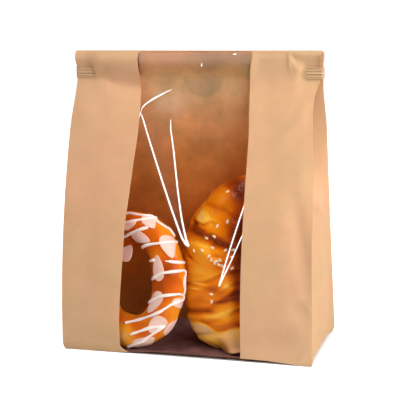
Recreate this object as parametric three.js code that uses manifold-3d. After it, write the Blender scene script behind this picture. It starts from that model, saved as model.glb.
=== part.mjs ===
// Paper bread bag with a clear window, standing on its flat base, with a ring bread and a
// croissant inside. Millimetres, +Z up, the window faces -Y, the origin is under the middle.
import * as THREE from "three";
import { mergeVertices } from "three/addons/utils/BufferGeometryUtils.js";
import Module from "manifold-3d";

const wasm = await Module();
wasm.setup();

// ---- driving dimensions -------------------------------------------------------------------
const HALF_WIDTH = 110; // half the width of the front
const HEIGHT = 255; // standing height, to the folded top
const BACK_DEPTH = 54.62; // base depth behind the middle plane
const PAPER = 0.8; // wall thickness of the paper
const FILM = 0.4; // thickness of the film
const FILM_LAP = 6; // width of film glued behind each paper strip
const GAP = 0.3; // clearance between pieces that touch

const WINDOW_LEFT = -48.2; // left edge of the clear strip under the top
const WINDOW_SLANT = 9.5; // how much further left it lies at the foot
const LEFT_WAVES = [[186, 0.9], [112, -0.8]]; // heights of its soft waves and their shifts
const LEFT_GATHER = 1.9; // how far it goes out again beside the tie
const WINDOW_RIGHT = 48.1; // right edge of the clear strip at the foot
const WINDOW_FULL = 2.1; // how much further right it lies above the middle
const WINDOW_GATHER = 2.9; // how far the tie draws the right edge in
const WINDOW_FREE = 0.65; // share of that which it comes back above the tie

const PINCH_Z = 229; // height where the body ends and the flat rolled top starts
const FRONT_TOP_Y = -3.2; // front face at the pinch
const BACK_TOP_Y = 2.0; // back face at the pinch
const PINCH_MIDDLE_Y = -0.7; // depth of the flat gusset between them
const LEFT_RUN = 51.34; // how far the left front corner runs forward from the pinch
const RIGHT_RUN = 41.5; // the same for the right corner
const RIGHT_FOOT = 8; // and how much further it goes at the foot
const FRONT_FILL = 4.2; // swell of the front over the breads
const BACK_FILL = 2.5; // swell of the back
const LIP = 2.2; // depth of the small fold at each upright corner
const CREASE_GAP = 0.6; // air in the gusset's crease
const GUSSET_IN = 50; // how far the gusset is folded in under the top

const ROLL_Z = 248; // height where the rolled top bulges most
const ROLL_BULGE = 4.8; // forward reach of the roll
const TOP_Y = -0.2; // depth of the top line
const FLAP_Y = 3.6; // outer face of the flap folded down behind
const FLAP_Z = 231; // lower edge of that flap
const FLAP_THICK = 2.0; // two layers of paper and the air between them
const FLAP_HALF = 107.6; // half its width

const TAB_X = 4.75; // centre of the round thumb tab below the flap
const TAB_Z = 232.5;
const TAB_RADIUS = 17.75;

const TIE_LOW = 231.45; // lower edge of the tin tie
const TIE_TALL = 9.9; // its width
const TIE_LEFT_END = -91.6; // where its bent ends stop on the front
const TIE_RIGHT_END = 94.5;
const TIE_THICK = 0.55; // thickness between its ribs
const TIE_RIB = 0.4; // extra height of a rib

const FLOOR_Z = PAPER + GAP; // the breads stand on the bag's base

// ---- small helpers ------------------------------------------------------------------------
const vec = (x, y, z) => new THREE.Vector3(x, y, z);
const mix = (a, b, t) => a + (b - a) * t;
const clamp01 = (t) => Math.min(1, Math.max(0, t));

function ease(low, high, value) {
  const t = clamp01((value - low) / (high - low));
  return t * t * (3 - 2 * t);
}

function spread(from, to, steps) {
  const values = [];
  for (let i = 0; i <= steps; i++) values.push(mix(from, to, i / steps));
  return values;
}

// A repeatable draw between 0 and 1.
let seed = 20417;
function draw() {
  seed = (seed * 16807) % 2147483647;
  return seed / 2147483647;
}

// A closed geometry from points and triangles, turned to face out.
function closedGeometry(points, triangles) {
  let volume = 0;
  for (const [a, b, c] of triangles) {
    volume += points[a].dot(points[b].clone().cross(points[c]));
  }
  const index = [];
  for (const [a, b, c] of triangles) {
    if (volume < 0) index.push(a, c, b);
    else index.push(a, b, c);
  }
  const flat = [];
  for (const p of points) flat.push(p.x, p.y, p.z);
  const geometry = new THREE.BufferGeometry();
  geometry.setAttribute("position", new THREE.Float32BufferAttribute(flat, 3));
  geometry.setIndex(index);
  return geometry;
}

// A sheet with thickness: two grids of points, row by row, joined along their four edges.
function thickSheet(outer, inner) {
  const rows = outer.length;
  const columns = outer[0].length;
  const points = [...outer.flat(), ...inner.flat()];
  const triangles = [];
  const front = (r, c) => r * columns + c;
  const back = (r, c) => rows * columns + r * columns + c;
  const quad = (a, b, c, d) => triangles.push([a, b, c], [a, c, d]);
  for (let r = 0; r < rows - 1; r++) {
    for (let c = 0; c < columns - 1; c++) {
      quad(front(r, c), front(r, c + 1), front(r + 1, c + 1), front(r + 1, c));
      quad(back(r, c), back(r + 1, c), back(r + 1, c + 1), back(r, c + 1));
    }
    quad(front(r, 0), front(r + 1, 0), back(r + 1, 0), back(r, 0));
    const last = columns - 1;
    quad(front(r, last), back(r, last), back(r + 1, last), front(r + 1, last));
  }
  for (let c = 0; c < columns - 1; c++) {
    quad(front(0, c), back(0, c), back(0, c + 1), front(0, c + 1));
    const last = rows - 1;
    quad(front(last, c), front(last, c + 1), back(last, c + 1), back(last, c));
  }
  return closedGeometry(points, triangles);
}

// A round body through closed loops of points, with a middle point closing each end.
function loopBody(loops) {
  const count = loops[0].length;
  const points = loops.flat();
  const triangles = [];
  for (let k = 0; k < loops.length - 1; k++) {
    for (let i = 0; i < count; i++) {
      const j = (i + 1) % count;
      const a = k * count + i;
      const b = k * count + j;
      triangles.push([a, b, b + count], [a, b + count, a + count]);
    }
  }
  const end = (loop, offset, flip) => {
    const middle = vec(0, 0, 0);
    for (const p of loop) middle.add(p);
    points.push(middle.divideScalar(count));
    const m = points.length - 1;
    for (let i = 0; i < count; i++) {
      const a = offset + i;
      const b = offset + ((i + 1) % count);
      triangles.push(flip ? [m, b, a] : [m, a, b]);
    }
  };
  end(loops[0], 0, true);
  end(loops[loops.length - 1], (loops.length - 1) * count, false);
  return closedGeometry(points, triangles);
}

function solid(geometry) {
  const bare = geometry.clone();
  bare.deleteAttribute("normal");
  bare.deleteAttribute("uv");
  const merged = mergeVertices(bare, 1e-4);
  const mesh = new wasm.Mesh({
    numProp: 3,
    vertProperties: new Float32Array(merged.attributes.position.array),
    triVerts: new Uint32Array(merged.index.array),
  });
  return new wasm.Manifold(mesh);
}

// The outer skin of the largest piece, without hollows that joining may have sealed.
function outerSkin(body) {
  let best = null;
  for (const piece of body.decompose()) {
    if (best === null || piece.volume() > best.volume()) best = piece;
  }
  return best;
}

function geometryOf(body) {
  const mesh = outerSkin(body).getMesh();
  const geometry = new THREE.BufferGeometry();
  const position = new THREE.BufferAttribute(new Float32Array(mesh.vertProperties), 3);
  geometry.setAttribute("position", position);
  geometry.setIndex(new THREE.BufferAttribute(new Uint32Array(mesh.triVerts), 1));
  geometry.computeVertexNormals();
  return geometry;
}

function named(name, geometry, color, roughness, metalness) {
  const material = new THREE.MeshStandardMaterial({ color, roughness, metalness });
  const mesh = new THREE.Mesh(geometry, material);
  mesh.name = name;
  return mesh;
}

// ---- form of the bag ----------------------------------------------------------------------
// Half the width at a height: drawn in a little where the tie holds it.
function halfWidth(z) {
  const foot = 1.5 * Math.pow(clamp01(1 - z / 6), 2);
  const tied = 1.8 * ease(190, 226, z) * (1 - 0.4 * ease(242, 250, z));
  return HALF_WIDTH - foot - tied;
}

// Front corners: both run back in a long curve that is steepest under the tie, and the right
// one stays full for longer.
function frontLeft(z) {
  const h = clamp01(z / PINCH_Z);
  return FRONT_TOP_Y - LEFT_RUN * (1 - h * h);
}

function frontRight(z) {
  const h = clamp01(z / PINCH_Z);
  return FRONT_TOP_Y - RIGHT_RUN * (1 - h * h * h) - RIGHT_FOOT * Math.exp(-z / 8);
}

// How far the filled front swells between its corners.
function frontSwell(z) {
  return FRONT_FILL * ease(0, 30, z) * (1 - ease(95, 200, z));
}

// The rolled top: flat under the tie, then a soft forward bulge that closes at the top.
function rollFront(z) {
  const bulge = ROLL_BULGE - TOP_Y + FRONT_TOP_Y;
  if (z <= ROLL_Z) return FRONT_TOP_Y - bulge * ease(241.5, ROLL_Z, z);
  const t = (z - ROLL_Z) / (HEIGHT - ROLL_Z);
  return TOP_Y - ROLL_BULGE * Math.sqrt(Math.max(0, 1 - t * t));
}

function frontFace(x, z) {
  if (z >= PINCH_Z) return rollFront(z);
  const side = (x + HALF_WIDTH) / (2 * HALF_WIDTH);
  const across = x / HALF_WIDTH;
  const foot = 2.5 * Math.pow(clamp01(1 - z / 8), 2);
  return mix(frontLeft(z), frontRight(z), side) - frontSwell(z) * (1 - across * across) + foot;
}

function backCorner(z) {
  const h = clamp01(1 - z / PINCH_Z);
  return BACK_TOP_Y + (BACK_DEPTH - BACK_TOP_Y) * Math.pow(h, 1.12);
}

function backFace(x, z) {
  const across = x / HALF_WIDTH;
  const swell = BACK_FILL * ease(0, 40, z) * (1 - ease(110, 200, z));
  return backCorner(z) + swell * (1 - across * across);
}

// Edges of the clear strip: the left one slants out towards the foot and turns back in just
// above it, the right one is drawn in where the tie holds it.
function windowLeft(z) {
  const foot = 7 * Math.pow(clamp01(1 - z / 8), 2);
  let edge = WINDOW_LEFT - WINDOW_SLANT * (1 - ease(0, 200, z)) + foot;
  for (const [at, shift] of LEFT_WAVES) edge += shift * Math.exp(-Math.pow((z - at) / 18, 2));
  return edge - LEFT_GATHER * ease(206, 232, z);
}

function windowRight(z) {
  const gather = WINDOW_GATHER * (ease(178, 232, z) - WINDOW_FREE * ease(236, 252, z));
  return WINDOW_RIGHT + WINDOW_FULL * ease(30, 170, z) - gather;
}

// Depth of the side fold: almost flat beside the bread, folded right in under the top.
function gussetIn(z) {
  return 4 * clamp01(z / 112) * ease(0, 30, z) + (GUSSET_IN - 4) * ease(112, 205, z);
}

// Plan line of the paper at one height, from the window's left edge round the back to its
// right edge.
function paperLine(z) {
  const w = halfWidth(z);
  const left = [];
  for (const x of spread(windowLeft(z), -w, 3)) left.push([x, frontFace(x, z)]);
  const side = (sign) => {
    const front = frontFace(sign * w, z);
    const back = backFace(sign * w, z);
    const open = z < PINCH_Z ? ease(0, 14, back - front - 5) : 0;
    const middle = mix(PINCH_MIDDLE_Y, (front + back) / 2, open);
    const crease = w - gussetIn(z);
    const line = [];
    const low = front + LIP;
    const high = back - LIP - 0.2;
    for (const t of spread(0, 1, 3)) {
      line.push([sign * mix(w, crease, t), mix(low, middle - CREASE_GAP / 2, t)]);
    }
    for (const t of spread(0, 1, 3)) {
      line.push([sign * mix(crease, w, t), mix(middle + CREASE_GAP / 2, high, t)]);
    }
    return line;
  };
  const back = [];
  for (const x of spread(-w, w, 6)) back.push([x, backFace(x, z)]);
  const right = [];
  for (const x of spread(w, windowRight(z), 3)) right.push([x, frontFace(x, z)]);
  return [...left, ...side(-1), ...back, ...side(1).reverse(), ...right];
}

// The same line moved towards the inside of the bag, with mitred corners.
function movedIn(line, distance) {
  const normals = [];
  for (let i = 0; i < line.length - 1; i++) {
    const dx = line[i + 1][0] - line[i][0];
    const dy = line[i + 1][1] - line[i][1];
    const length = Math.hypot(dx, dy);
    normals.push([dy / length, -dx / length]);
  }
  return line.map(([x, y], i) => {
    const a = normals[Math.max(0, i - 1)];
    const b = normals[Math.min(normals.length - 1, i)];
    const scale = distance / (1 + a[0] * b[0] + a[1] * b[1]);
    return [x + (a[0] + b[0]) * scale, y + (a[1] + b[1]) * scale];
  });
}

const WALL_HEIGHTS = [
  0, 3, 9, 25, 50, 78, 104, 119, 133, 147, 161, 175, 189, 201, 211, 220, 229, 241.5, 244.5, 248,
  250.5, 252.3, 253.6,
];

// ---- paper bag ----------------------------------------------------------------------------
const outerRows = [];
const innerRows = [];
for (const z of WALL_HEIGHTS) {
  const line = paperLine(z);
  outerRows.push(line.map(([x, y]) => vec(x, y, z)));
  innerRows.push(movedIn(line, PAPER).map(([x, y]) => vec(x, y, z)));
}
let paper = solid(thickSheet(outerRows, innerRows));

// The flat base closes the tube, and its front edge runs on under the window.
function basePlate() {
  const top = [];
  const bottom = [];
  for (const x of spread(-1, 1, 12)) {
    const px = x * (halfWidth(0) - 0.3);
    const front = frontFace(px, 0) + 0.3;
    const back = backFace(px, 0) - 0.3;
    top.push(spread(front, back, 2).map((y) => vec(px, y, PAPER)));
    bottom.push(spread(front, back, 2).map((y) => vec(px, y, 0)));
  }
  return thickSheet(top, bottom);
}
paper = paper.add(solid(basePlate()));

// The top: one sheet goes over the top line and hangs down behind as a flap. In front it
// starts lower on the two strips than over the window, where the film takes its place.
function foldedTop(fromX, toX, startY) {
  const outline = [];
  const inline = [];
  const startAngle = Math.acos(clamp01((TOP_Y - startY) / ROLL_BULGE));
  for (const a of spread(startAngle, Math.PI / 2, 5)) {
    const reach = HEIGHT - ROLL_Z;
    outline.push([TOP_Y - ROLL_BULGE * Math.cos(a), ROLL_Z + reach * Math.sin(a)]);
    inline.push([
      TOP_Y - (ROLL_BULGE - PAPER) * Math.cos(a),
      ROLL_Z + (reach - PAPER) * Math.sin(a),
    ]);
  }
  const backReach = FLAP_Y - TOP_Y;
  for (const a of spread(Math.PI / 2, 0, 5).slice(1)) {
    const y = TOP_Y + backReach * Math.cos(a);
    outline.push([y, ROLL_Z + (HEIGHT - ROLL_Z) * Math.sin(a)]);
    inline.push([
      TOP_Y + (backReach - FLAP_THICK) * Math.cos(a),
      ROLL_Z + (HEIGHT - ROLL_Z - PAPER) * Math.sin(a),
    ]);
  }
  outline.push([FLAP_Y, FLAP_Z]);
  inline.push([FLAP_Y - FLAP_THICK, FLAP_Z]);
  const steps = 2;
  const outer = spread(fromX, toX, steps).map((x) => outline.map(([y, z]) => vec(x, y, z)));
  const inner = spread(fromX, toX, steps).map((x) => inline.map(([y, z]) => vec(x, y, z)));
  return thickSheet(outer, inner);
}
const WINDOW_START_Y = -2.6;
const STRIP_START_Y = -4.0;
paper = paper.add(solid(foldedTop(-FLAP_HALF, FLAP_HALF, WINDOW_START_Y)));
paper = paper.add(solid(foldedTop(-FLAP_HALF, windowLeft(HEIGHT) - 0.05, STRIP_START_Y)));
paper = paper.add(solid(foldedTop(windowRight(HEIGHT) + 0.05, FLAP_HALF, STRIP_START_Y)));

// The round thumb tab that hangs below the flap, flat on the back panel.
function thumbTab() {
  const outer = [];
  const inner = [];
  for (const a of spread(0, 0.46 * Math.PI, 8)) {
    const z = TAB_Z - TAB_RADIUS * Math.sin(a);
    const half = TAB_RADIUS * Math.cos(a);
    const row = spread(TAB_X - half, TAB_X + half, 4);
    outer.push(row.map((x) => vec(x, backFace(x, z) + 0.9, z)));
    inner.push(row.map((x) => vec(x, backFace(x, z) - 0.4, z)));
  }
  return thickSheet(outer, inner);
}
paper = paper.add(solid(thumbTab()));

// ---- window film --------------------------------------------------------------------------
function windowFilm() {
  const outer = [];
  const inner = [];
  const heights = [FLOOR_Z, ...WALL_HEIGHTS.filter((z) => z > 1 && z < 252), 252.4];
  for (const z of heights) {
    const [left, right] = [windowLeft(z), windowRight(z)];
    const xs = [left - FILM_LAP, ...spread(left, right, 6), right + FILM_LAP];
    outer.push(xs.map((x) => vec(x, frontFace(x, z) + PAPER + GAP, z)));
    inner.push(xs.map((x) => vec(x, frontFace(x, z) + PAPER + GAP + FILM, z)));
  }
  return thickSheet(outer, inner);
}

// ---- tin tie ------------------------------------------------------------------------------
// A ribbed strip behind the flap whose two ends are bent round onto the front.
function tinTie() {
  const frontY = FRONT_TOP_Y - GAP;
  const backY = FLAP_Y + GAP;
  const sideX = halfWidth(TIE_LOW + 2) + GAP;
  const turn = 0.5;
  const path = [];
  const along = (x, y, nx, ny) => path.push({ x, y, nx, ny });
  for (const s of [0, 0.8, 2, 3.6]) along(TIE_LEFT_END - s, frontY, 0, -1);
  for (const a of spread(0, Math.PI / 2, 3)) {
    const cx = -sideX + turn;
    const cy = frontY + turn;
    along(cx - turn * Math.sin(a), cy - turn * Math.cos(a), -Math.sin(a), -Math.cos(a));
  }
  for (const a of spread(0, Math.PI / 2, 3)) {
    const cx = -sideX + turn;
    const cy = backY - turn;
    along(cx - turn * Math.cos(a), cy + turn * Math.sin(a), -Math.cos(a), Math.sin(a));
  }
  for (const a of spread(0, Math.PI / 2, 3)) {
    const cx = sideX - turn;
    const cy = backY - turn;
    along(cx + turn * Math.sin(a), cy + turn * Math.cos(a), Math.sin(a), Math.cos(a));
  }
  for (const a of spread(0, Math.PI / 2, 3)) {
    const cx = sideX - turn;
    const cy = frontY + turn;
    along(cx + turn * Math.cos(a), cy - turn * Math.sin(a), Math.cos(a), -Math.sin(a));
  }
  for (const s of [3.6, 2, 0.8, 0]) along(TIE_RIGHT_END + s, frontY, 0, -1);
  const middle = TIE_LOW + TIE_TALL / 2;
  const outer = [];
  const inner = [];
  path.forEach(({ x, y, nx, ny }, row) => {
    const fromEnd = Math.min(row, path.length - 1 - row);
    const narrow = [0.62, 0.82, 0.95, 1][Math.min(3, fromEnd)];
    const outerRow = [];
    const innerRow = [];
    for (let c = 0; c <= 8; c++) {
      const z = middle + (c / 8 - 0.5) * TIE_TALL * narrow;
      const rib = c === 2 || c === 4 || c === 6 ? TIE_RIB : 0;
      const thick = TIE_THICK + rib;
      outerRow.push(vec(x + nx * thick, y + ny * thick, z));
      innerRow.push(vec(x, y, z));
    }
    outer.push(outerRow);
    inner.push(innerRow);
  });
  return thickSheet(outer, inner);
}

// ---- ring bread ---------------------------------------------------------------------------
// A dough ring that stands on its edge, leans back and is turned a little to the left. On it
// lie flat almond flakes and a zigzag of icing.
const RING = {
  centre: vec(-53.5, -27.0, 59.2),
  yaw: THREE.MathUtils.degToRad(10),
  lean: THREE.MathUtils.degToRad(11),
  halfAcross: 35.6, // middle line of the dough, across
  halfUp: 45.0, // middle line of the dough, up
  dough: 14.2, // half the dough's width in the ring's plane
  doughDeep: 12.6, // half its depth
};
const RING_ACROSS = vec(Math.cos(RING.yaw), -Math.sin(RING.yaw), 0);
const RING_BACK = vec(Math.sin(RING.yaw), Math.cos(RING.yaw), 0);
const RING_UP = vec(0, 0, Math.cos(RING.lean)).addScaledVector(RING_BACK, Math.sin(RING.lean));
const RING_FRONT = RING_BACK.clone().multiplyScalar(-Math.cos(RING.lean));
RING_FRONT.z += Math.sin(RING.lean);

// The lower right of the dough is a bit fuller than an ellipse.
function ringFull(angle) {
  return 1 + 0.055 * Math.exp(-Math.pow((angle + 0.8) / 0.45, 2));
}

function ringPoint(angle, around) {
  const full = ringFull(angle);
  const cx = RING.halfAcross * full * Math.cos(angle);
  const cy = RING.halfUp * full * Math.sin(angle);
  const ox = RING.halfUp * Math.cos(angle);
  const oy = RING.halfAcross * Math.sin(angle);
  const size = Math.hypot(ox, oy);
  const lump = 1 + 0.035 * Math.sin(3 * angle + 1.1) + 0.02 * Math.sin(7 * angle + 0.4);
  const wide = RING.dough * lump;
  const deep = RING.doughDeep * (1 + 0.03 * Math.sin(5 * angle + 2));
  const flat = Math.sin(around) < 0 ? 0.86 : 1;
  const a = cx + (ox / size) * wide * Math.cos(around);
  const b = cy + (oy / size) * wide * Math.cos(around);
  const c = deep * flat * Math.sin(around);
  return RING.centre
    .clone()
    .addScaledVector(RING_ACROSS, a)
    .addScaledVector(RING_UP, b)
    .addScaledVector(RING_FRONT, c);
}

function ringNormal(angle, around) {
  const step = 0.02;
  const p = ringPoint(angle + step, around).sub(ringPoint(angle - step, around));
  const q = ringPoint(angle, around + step).sub(ringPoint(angle, around - step));
  return p.cross(q).normalize();
}

// Place on the front of the dough over a point of the ring's own plane.
function ringOver(across, up) {
  const angle = Math.atan2(up / RING.halfUp, across / RING.halfAcross);
  const full = ringFull(angle);
  const reach = Math.hypot(RING.halfAcross * Math.cos(angle), RING.halfUp * Math.sin(angle));
  const middle = full * reach;
  const off = (Math.hypot(across, up) - middle) / RING.dough;
  return { angle, around: Math.acos(Math.max(-1, Math.min(1, off))), off };
}

function ringDough() {
  const turns = 44;
  const sides = 14;
  const points = [];
  const triangles = [];
  for (let i = 0; i < turns; i++) {
    for (let j = 0; j < sides; j++) {
      points.push(ringPoint((2 * Math.PI * i) / turns, (2 * Math.PI * j) / sides));
    }
  }
  for (let i = 0; i < turns; i++) {
    for (let j = 0; j < sides; j++) {
      const a = i * sides + j;
      const b = ((i + 1) % turns) * sides + j;
      const c = ((i + 1) % turns) * sides + ((j + 1) % sides);
      const d = i * sides + ((j + 1) % sides);
      triangles.push([a, b, c], [a, c, d]);
    }
  }
  return closedGeometry(points, triangles);
}

// A flat almond slice: round at one end, pointed at the other, half sunk in the glaze.
function almondFlake(across, up, spin, length, width) {
  const { angle, around } = ringOver(across, up);
  const place = ringPoint(angle, around);
  const normal = ringNormal(angle, around);
  const level = RING_ACROSS.clone().addScaledVector(normal, -RING_ACROSS.dot(normal)).normalize();
  const right = level.applyAxisAngle(normal, THREE.MathUtils.degToRad(spin));
  const up2 = normal.clone().cross(right);
  const loops = [];
  for (const [height, shrink] of [[-1.3, 1], [0.75, 0.94]]) {
    const loop = [];
    for (let i = 0; i < 9; i++) {
      const t = (2 * Math.PI * i) / 9;
      const x = (length / 2) * Math.cos(t) * shrink;
      const y = (width / 2) * Math.sin(t) * (1 - 0.35 * Math.cos(t)) * shrink;
      const bend = (y * y + 0.35 * x * x) / (2 * RING.dough);
      const point = place.clone().addScaledVector(right, x).addScaledVector(up2, y);
      loop.push(point.addScaledVector(normal, height - bend));
    }
    loops.push(loop);
  }
  return loopBody(loops);
}

// One bead of icing over the front of the dough, through places of the ring's own plane.
function icingBead(places, width) {
  const path = [];
  for (let k = 0; k < places.length - 1; k++) {
    const [from, to] = [places[k], places[k + 1]];
    const steps = Math.max(2, Math.round(Math.hypot(to[0] - from[0], to[1] - from[1]) / 6.5));
    for (let i = k === 0 ? 0 : 1; i <= steps; i++) {
      const t = i / steps;
      const place = ringOver(mix(from[0], to[0], t), mix(from[1], to[1], t));
      path.push({
        point: ringPoint(place.angle, place.around),
        normal: ringNormal(place.angle, place.around),
      });
    }
  }
  const loops = path.map(({ point, normal }, i) => {
    const before = path[Math.max(0, i - 1)].point;
    const after = path[Math.min(path.length - 1, i + 1)].point;
    const side = after.clone().sub(before).normalize().cross(normal).normalize();
    const end = i === 0 || i === path.length - 1 ? 0.55 : 1;
    const loop = [];
    for (let k = 0; k < 5; k++) {
      const a = (2 * Math.PI * (k + 0.25)) / 5;
      const s = (width / 2) * end * Math.cos(a);
      const h = 0.95 * end * Math.sin(a) + 0.1;
      loop.push(point.clone().addScaledVector(side, s).addScaledVector(normal, h));
    }
    return loop;
  });
  return loopBody(loops);
}

// Icing passes: places across and up in the ring's plane. The nozzle went back and forth, so
// neighbours lie close in pairs and some are joined at the right edge.
const ICING_PASSES = [
  [[-24, 50], [-4, 57], [14, 56.4], [36, 44]],
  [[-34, 38], [-8, 47.5], [17, 55.5]],
  [[-18, 31], [17, 47]],
  [[6, 24], [21, 31.6], [38.5, 38.5]],
  [[17.5, 14], [27, 18.5]],
  [[36, 20], [47.5, 20.6]],
  [[22.5, 1], [35, 9], [49, 13.6], [50.2, -9]],
  [[21.2, -16.4], [34, -10.8], [48.5, -8.6], [51, -13], [35, -24.4], [1.5, -37.8]],
  [[8, -46.4], [27, -38.4], [37, -37.5], [17.5, -52], [2, -58]],
  [[-43, 26], [-27, 32]],
  [[-48, 8], [-22, 16]],
  [[-49, -8], [-22, 0]],
  [[-46, -27], [-20, -17]],
  [[-34, -46], [-9, -36]],
];

// Almond flakes: place across and up, spin in degrees, length, width.
const FLAKES = [
  [15.4, 52, -39, 16, 8],
  [11.6, 37, -15, 20, 10],
  [35.3, 33, -59, 22, 8.5],
  [30.7, 12.5, 101, 22, 10],
  [29.5, -16, -121, 21, 10.5],
  [31, -36.4, -128, 18, 11.5],
  [-0.5, 47.4, 24, 13, 8],
  [17, -53, 24, 22, 8],
  [40, -41.5, -133, 21, 8],
  [49, -19, -69, 14, 8],
  [-22, 42, 40, 17, 9],
  [-38, 20, 80, 19, 10],
  [-33, -8, 110, 17, 9],
  [-40, -27, 60, 18, 9],
  [-20, -46, 10, 18, 9],
];

let ring = solid(ringDough());
for (const [across, up, spin, length, width] of FLAKES) {
  ring = ring.add(solid(almondFlake(across, up, spin, length, width)));
}
for (const places of ICING_PASSES) ring = ring.add(solid(icingBead(places, 3)));

// A flat spot at the lowest point, where the ring rests on the base.
function slabBelow(z) {
  const slab = new THREE.BoxGeometry(400, 400, 40);
  slab.translate(0, 0, z - 20);
  return solid(slab);
}
ring = ring.subtract(slabBelow(FLOOR_Z));

// ---- croissant ----------------------------------------------------------------------------
// A curved roll of layered dough that stands on its blunt lower end. The layers end in steps
// that run across the roll.
const ROLL_STATIONS = [
  // share of the length, x, y, z, radius
  [0, 32, -6, 2, 19],
  [0.07, 30, -6, 12, 29],
  [0.2, 24.5, -6, 33, 33.5],
  [0.42, 20.5, -6, 66, 34.5],
  [0.58, 22, -6, 88, 34],
  [0.72, 28.5, -5, 108, 30.5],
  [0.84, 37, -4, 126, 24],
  [0.94, 46, -3, 140, 14],
  [1, 51.5, -2, 147.5, 7],
];
const STEPS = [0.1, 0.23, 0.36, 0.62, 0.8, 0.92]; // where layers end along the roll
const STEP_DEEP = [1.6, 2.2, 2.0, 3.6, 1.8, 1.2];

function rollAt(t, column) {
  const rows = ROLL_STATIONS;
  let k = 0;
  while (k < rows.length - 2 && rows[k + 1][0] < t) k++;
  const a = rows[Math.max(0, k - 1)];
  const b = rows[k];
  const c = rows[k + 1];
  const d = rows[Math.min(rows.length - 1, k + 2)];
  const s = (t - b[0]) / (c[0] - b[0]);
  const span = c[0] - b[0];
  const slopeB = ((c[column] - a[column]) / (c[0] - a[0])) * span;
  const slopeC = ((d[column] - b[column]) / (d[0] - b[0])) * span;
  const s2 = s * s;
  const s3 = s2 * s;
  return (
    (2 * s3 - 3 * s2 + 1) * b[column] +
    (s3 - 2 * s2 + s) * slopeB +
    (3 * s2 - 2 * s3) * c[column] +
    (s3 - s2) * slopeC
  );
}

// Steps face away from the thick middle: full up to the layer's end, then a drop.
function layerDrop(t) {
  let drop = 0;
  STEPS.forEach((at, i) => {
    const outward = at < 0.5 ? at - t : t - at;
    if (outward > -0.012) {
      const fade = Math.exp(-Math.max(0, outward) / 0.06);
      drop += STEP_DEEP[i] * ease(-0.012, 0.012, outward) * fade;
    }
  });
  return drop;
}

function rollPoint(t, angle) {
  const middle = vec(rollAt(t, 1), rollAt(t, 2), rollAt(t, 3));
  const lower = Math.max(0, t - 0.02);
  const upper = Math.min(1, t + 0.02);
  const along = vec(
    rollAt(upper, 1) - rollAt(lower, 1),
    rollAt(upper, 2) - rollAt(lower, 2),
    rollAt(upper, 3) - rollAt(lower, 3),
  ).normalize();
  const depth = vec(0, 1, 0).addScaledVector(along, -along.y).normalize();
  const across = depth.clone().cross(along).normalize();
  const dent = 1 + 0.025 * Math.sin(2 * angle + 5 * t) + 0.02 * Math.sin(5 * angle + 9 * t);
  const swirl = t + 0.02 * Math.sin(angle + 0.6);
  const radius = rollAt(t, 4) * dent - layerDrop(clamp01(swirl));
  return middle
    .addScaledVector(across, radius * Math.cos(angle))
    .addScaledVector(depth, 0.97 * radius * Math.sin(angle));
}

function croissantDough() {
  const shares = [0, 0.035, 0.07];
  for (const t of spread(0.09, 0.98, 31)) shares.push(t);
  shares.push(1);
  const loops = shares.map((t) => {
    const loop = [];
    for (let i = 0; i < 24; i++) loop.push(rollPoint(t, (2 * Math.PI * i) / 24));
    return loop;
  });
  return loopBody(loops);
}

// A sesame seed lying on the crust.
function sesameSeed(t, angle, spin) {
  const place = rollPoint(t, angle);
  const p = rollPoint(t + 0.01, angle).sub(rollPoint(t - 0.01, angle));
  const q = rollPoint(t, angle + 0.04).sub(rollPoint(t, angle - 0.04));
  const normal = q.cross(p).normalize();
  const middle = vec(rollAt(t, 1), rollAt(t, 2), rollAt(t, 3));
  if (normal.dot(place.clone().sub(middle)) < 0) normal.negate();
  const right = p.normalize().applyAxisAngle(normal, spin);
  const up = normal.clone().cross(right);
  const loops = [-0.8, -0.1, 0.8].map((share) => {
    const loop = [];
    for (let i = 0; i < 5; i++) {
      const a = (2 * Math.PI * i) / 5;
      const size = Math.sqrt(1 - share * share) * (1 + 0.25 * share);
      const point = place.clone().addScaledVector(normal, 0.35 + 0.55 * size * Math.sin(a));
      point.addScaledVector(right, 1.75 * share).addScaledVector(up, size * Math.cos(a));
      loop.push(point);
    }
    return loop;
  });
  return loopBody(loops);
}

let croissant = solid(croissantDough());
// Seeds gather on the belly that faces the window, with fewer beyond.
for (let i = 0; i < 16; i++) {
  const t = 0.3 + 0.42 * draw();
  const angle = -Math.PI / 2 + 1.3 * (draw() - 0.5);
  croissant = croissant.add(solid(sesameSeed(t, angle, 3 * draw())));
}
croissant = croissant.subtract(slabBelow(FLOOR_Z));

// ---- the object ---------------------------------------------------------------------------
const bag = new THREE.Group();
bag.add(named("paper_bag", geometryOf(paper), 0xdcb086, 0.85, 0));
bag.add(named("window_film", windowFilm(), 0xe8ecee, 0.08, 0));
bag.add(named("tin_tie", tinTie(), 0xd2a880, 0.7, 0));
bag.add(named("ring_bread", geometryOf(ring), 0xb8692c, 0.4, 0));
bag.add(named("croissant", geometryOf(croissant), 0xd98626, 0.4, 0));

export default bag;
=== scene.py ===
import math

import bpy
import numpy as np
from mathutils import Matrix, Vector, noise


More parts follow.
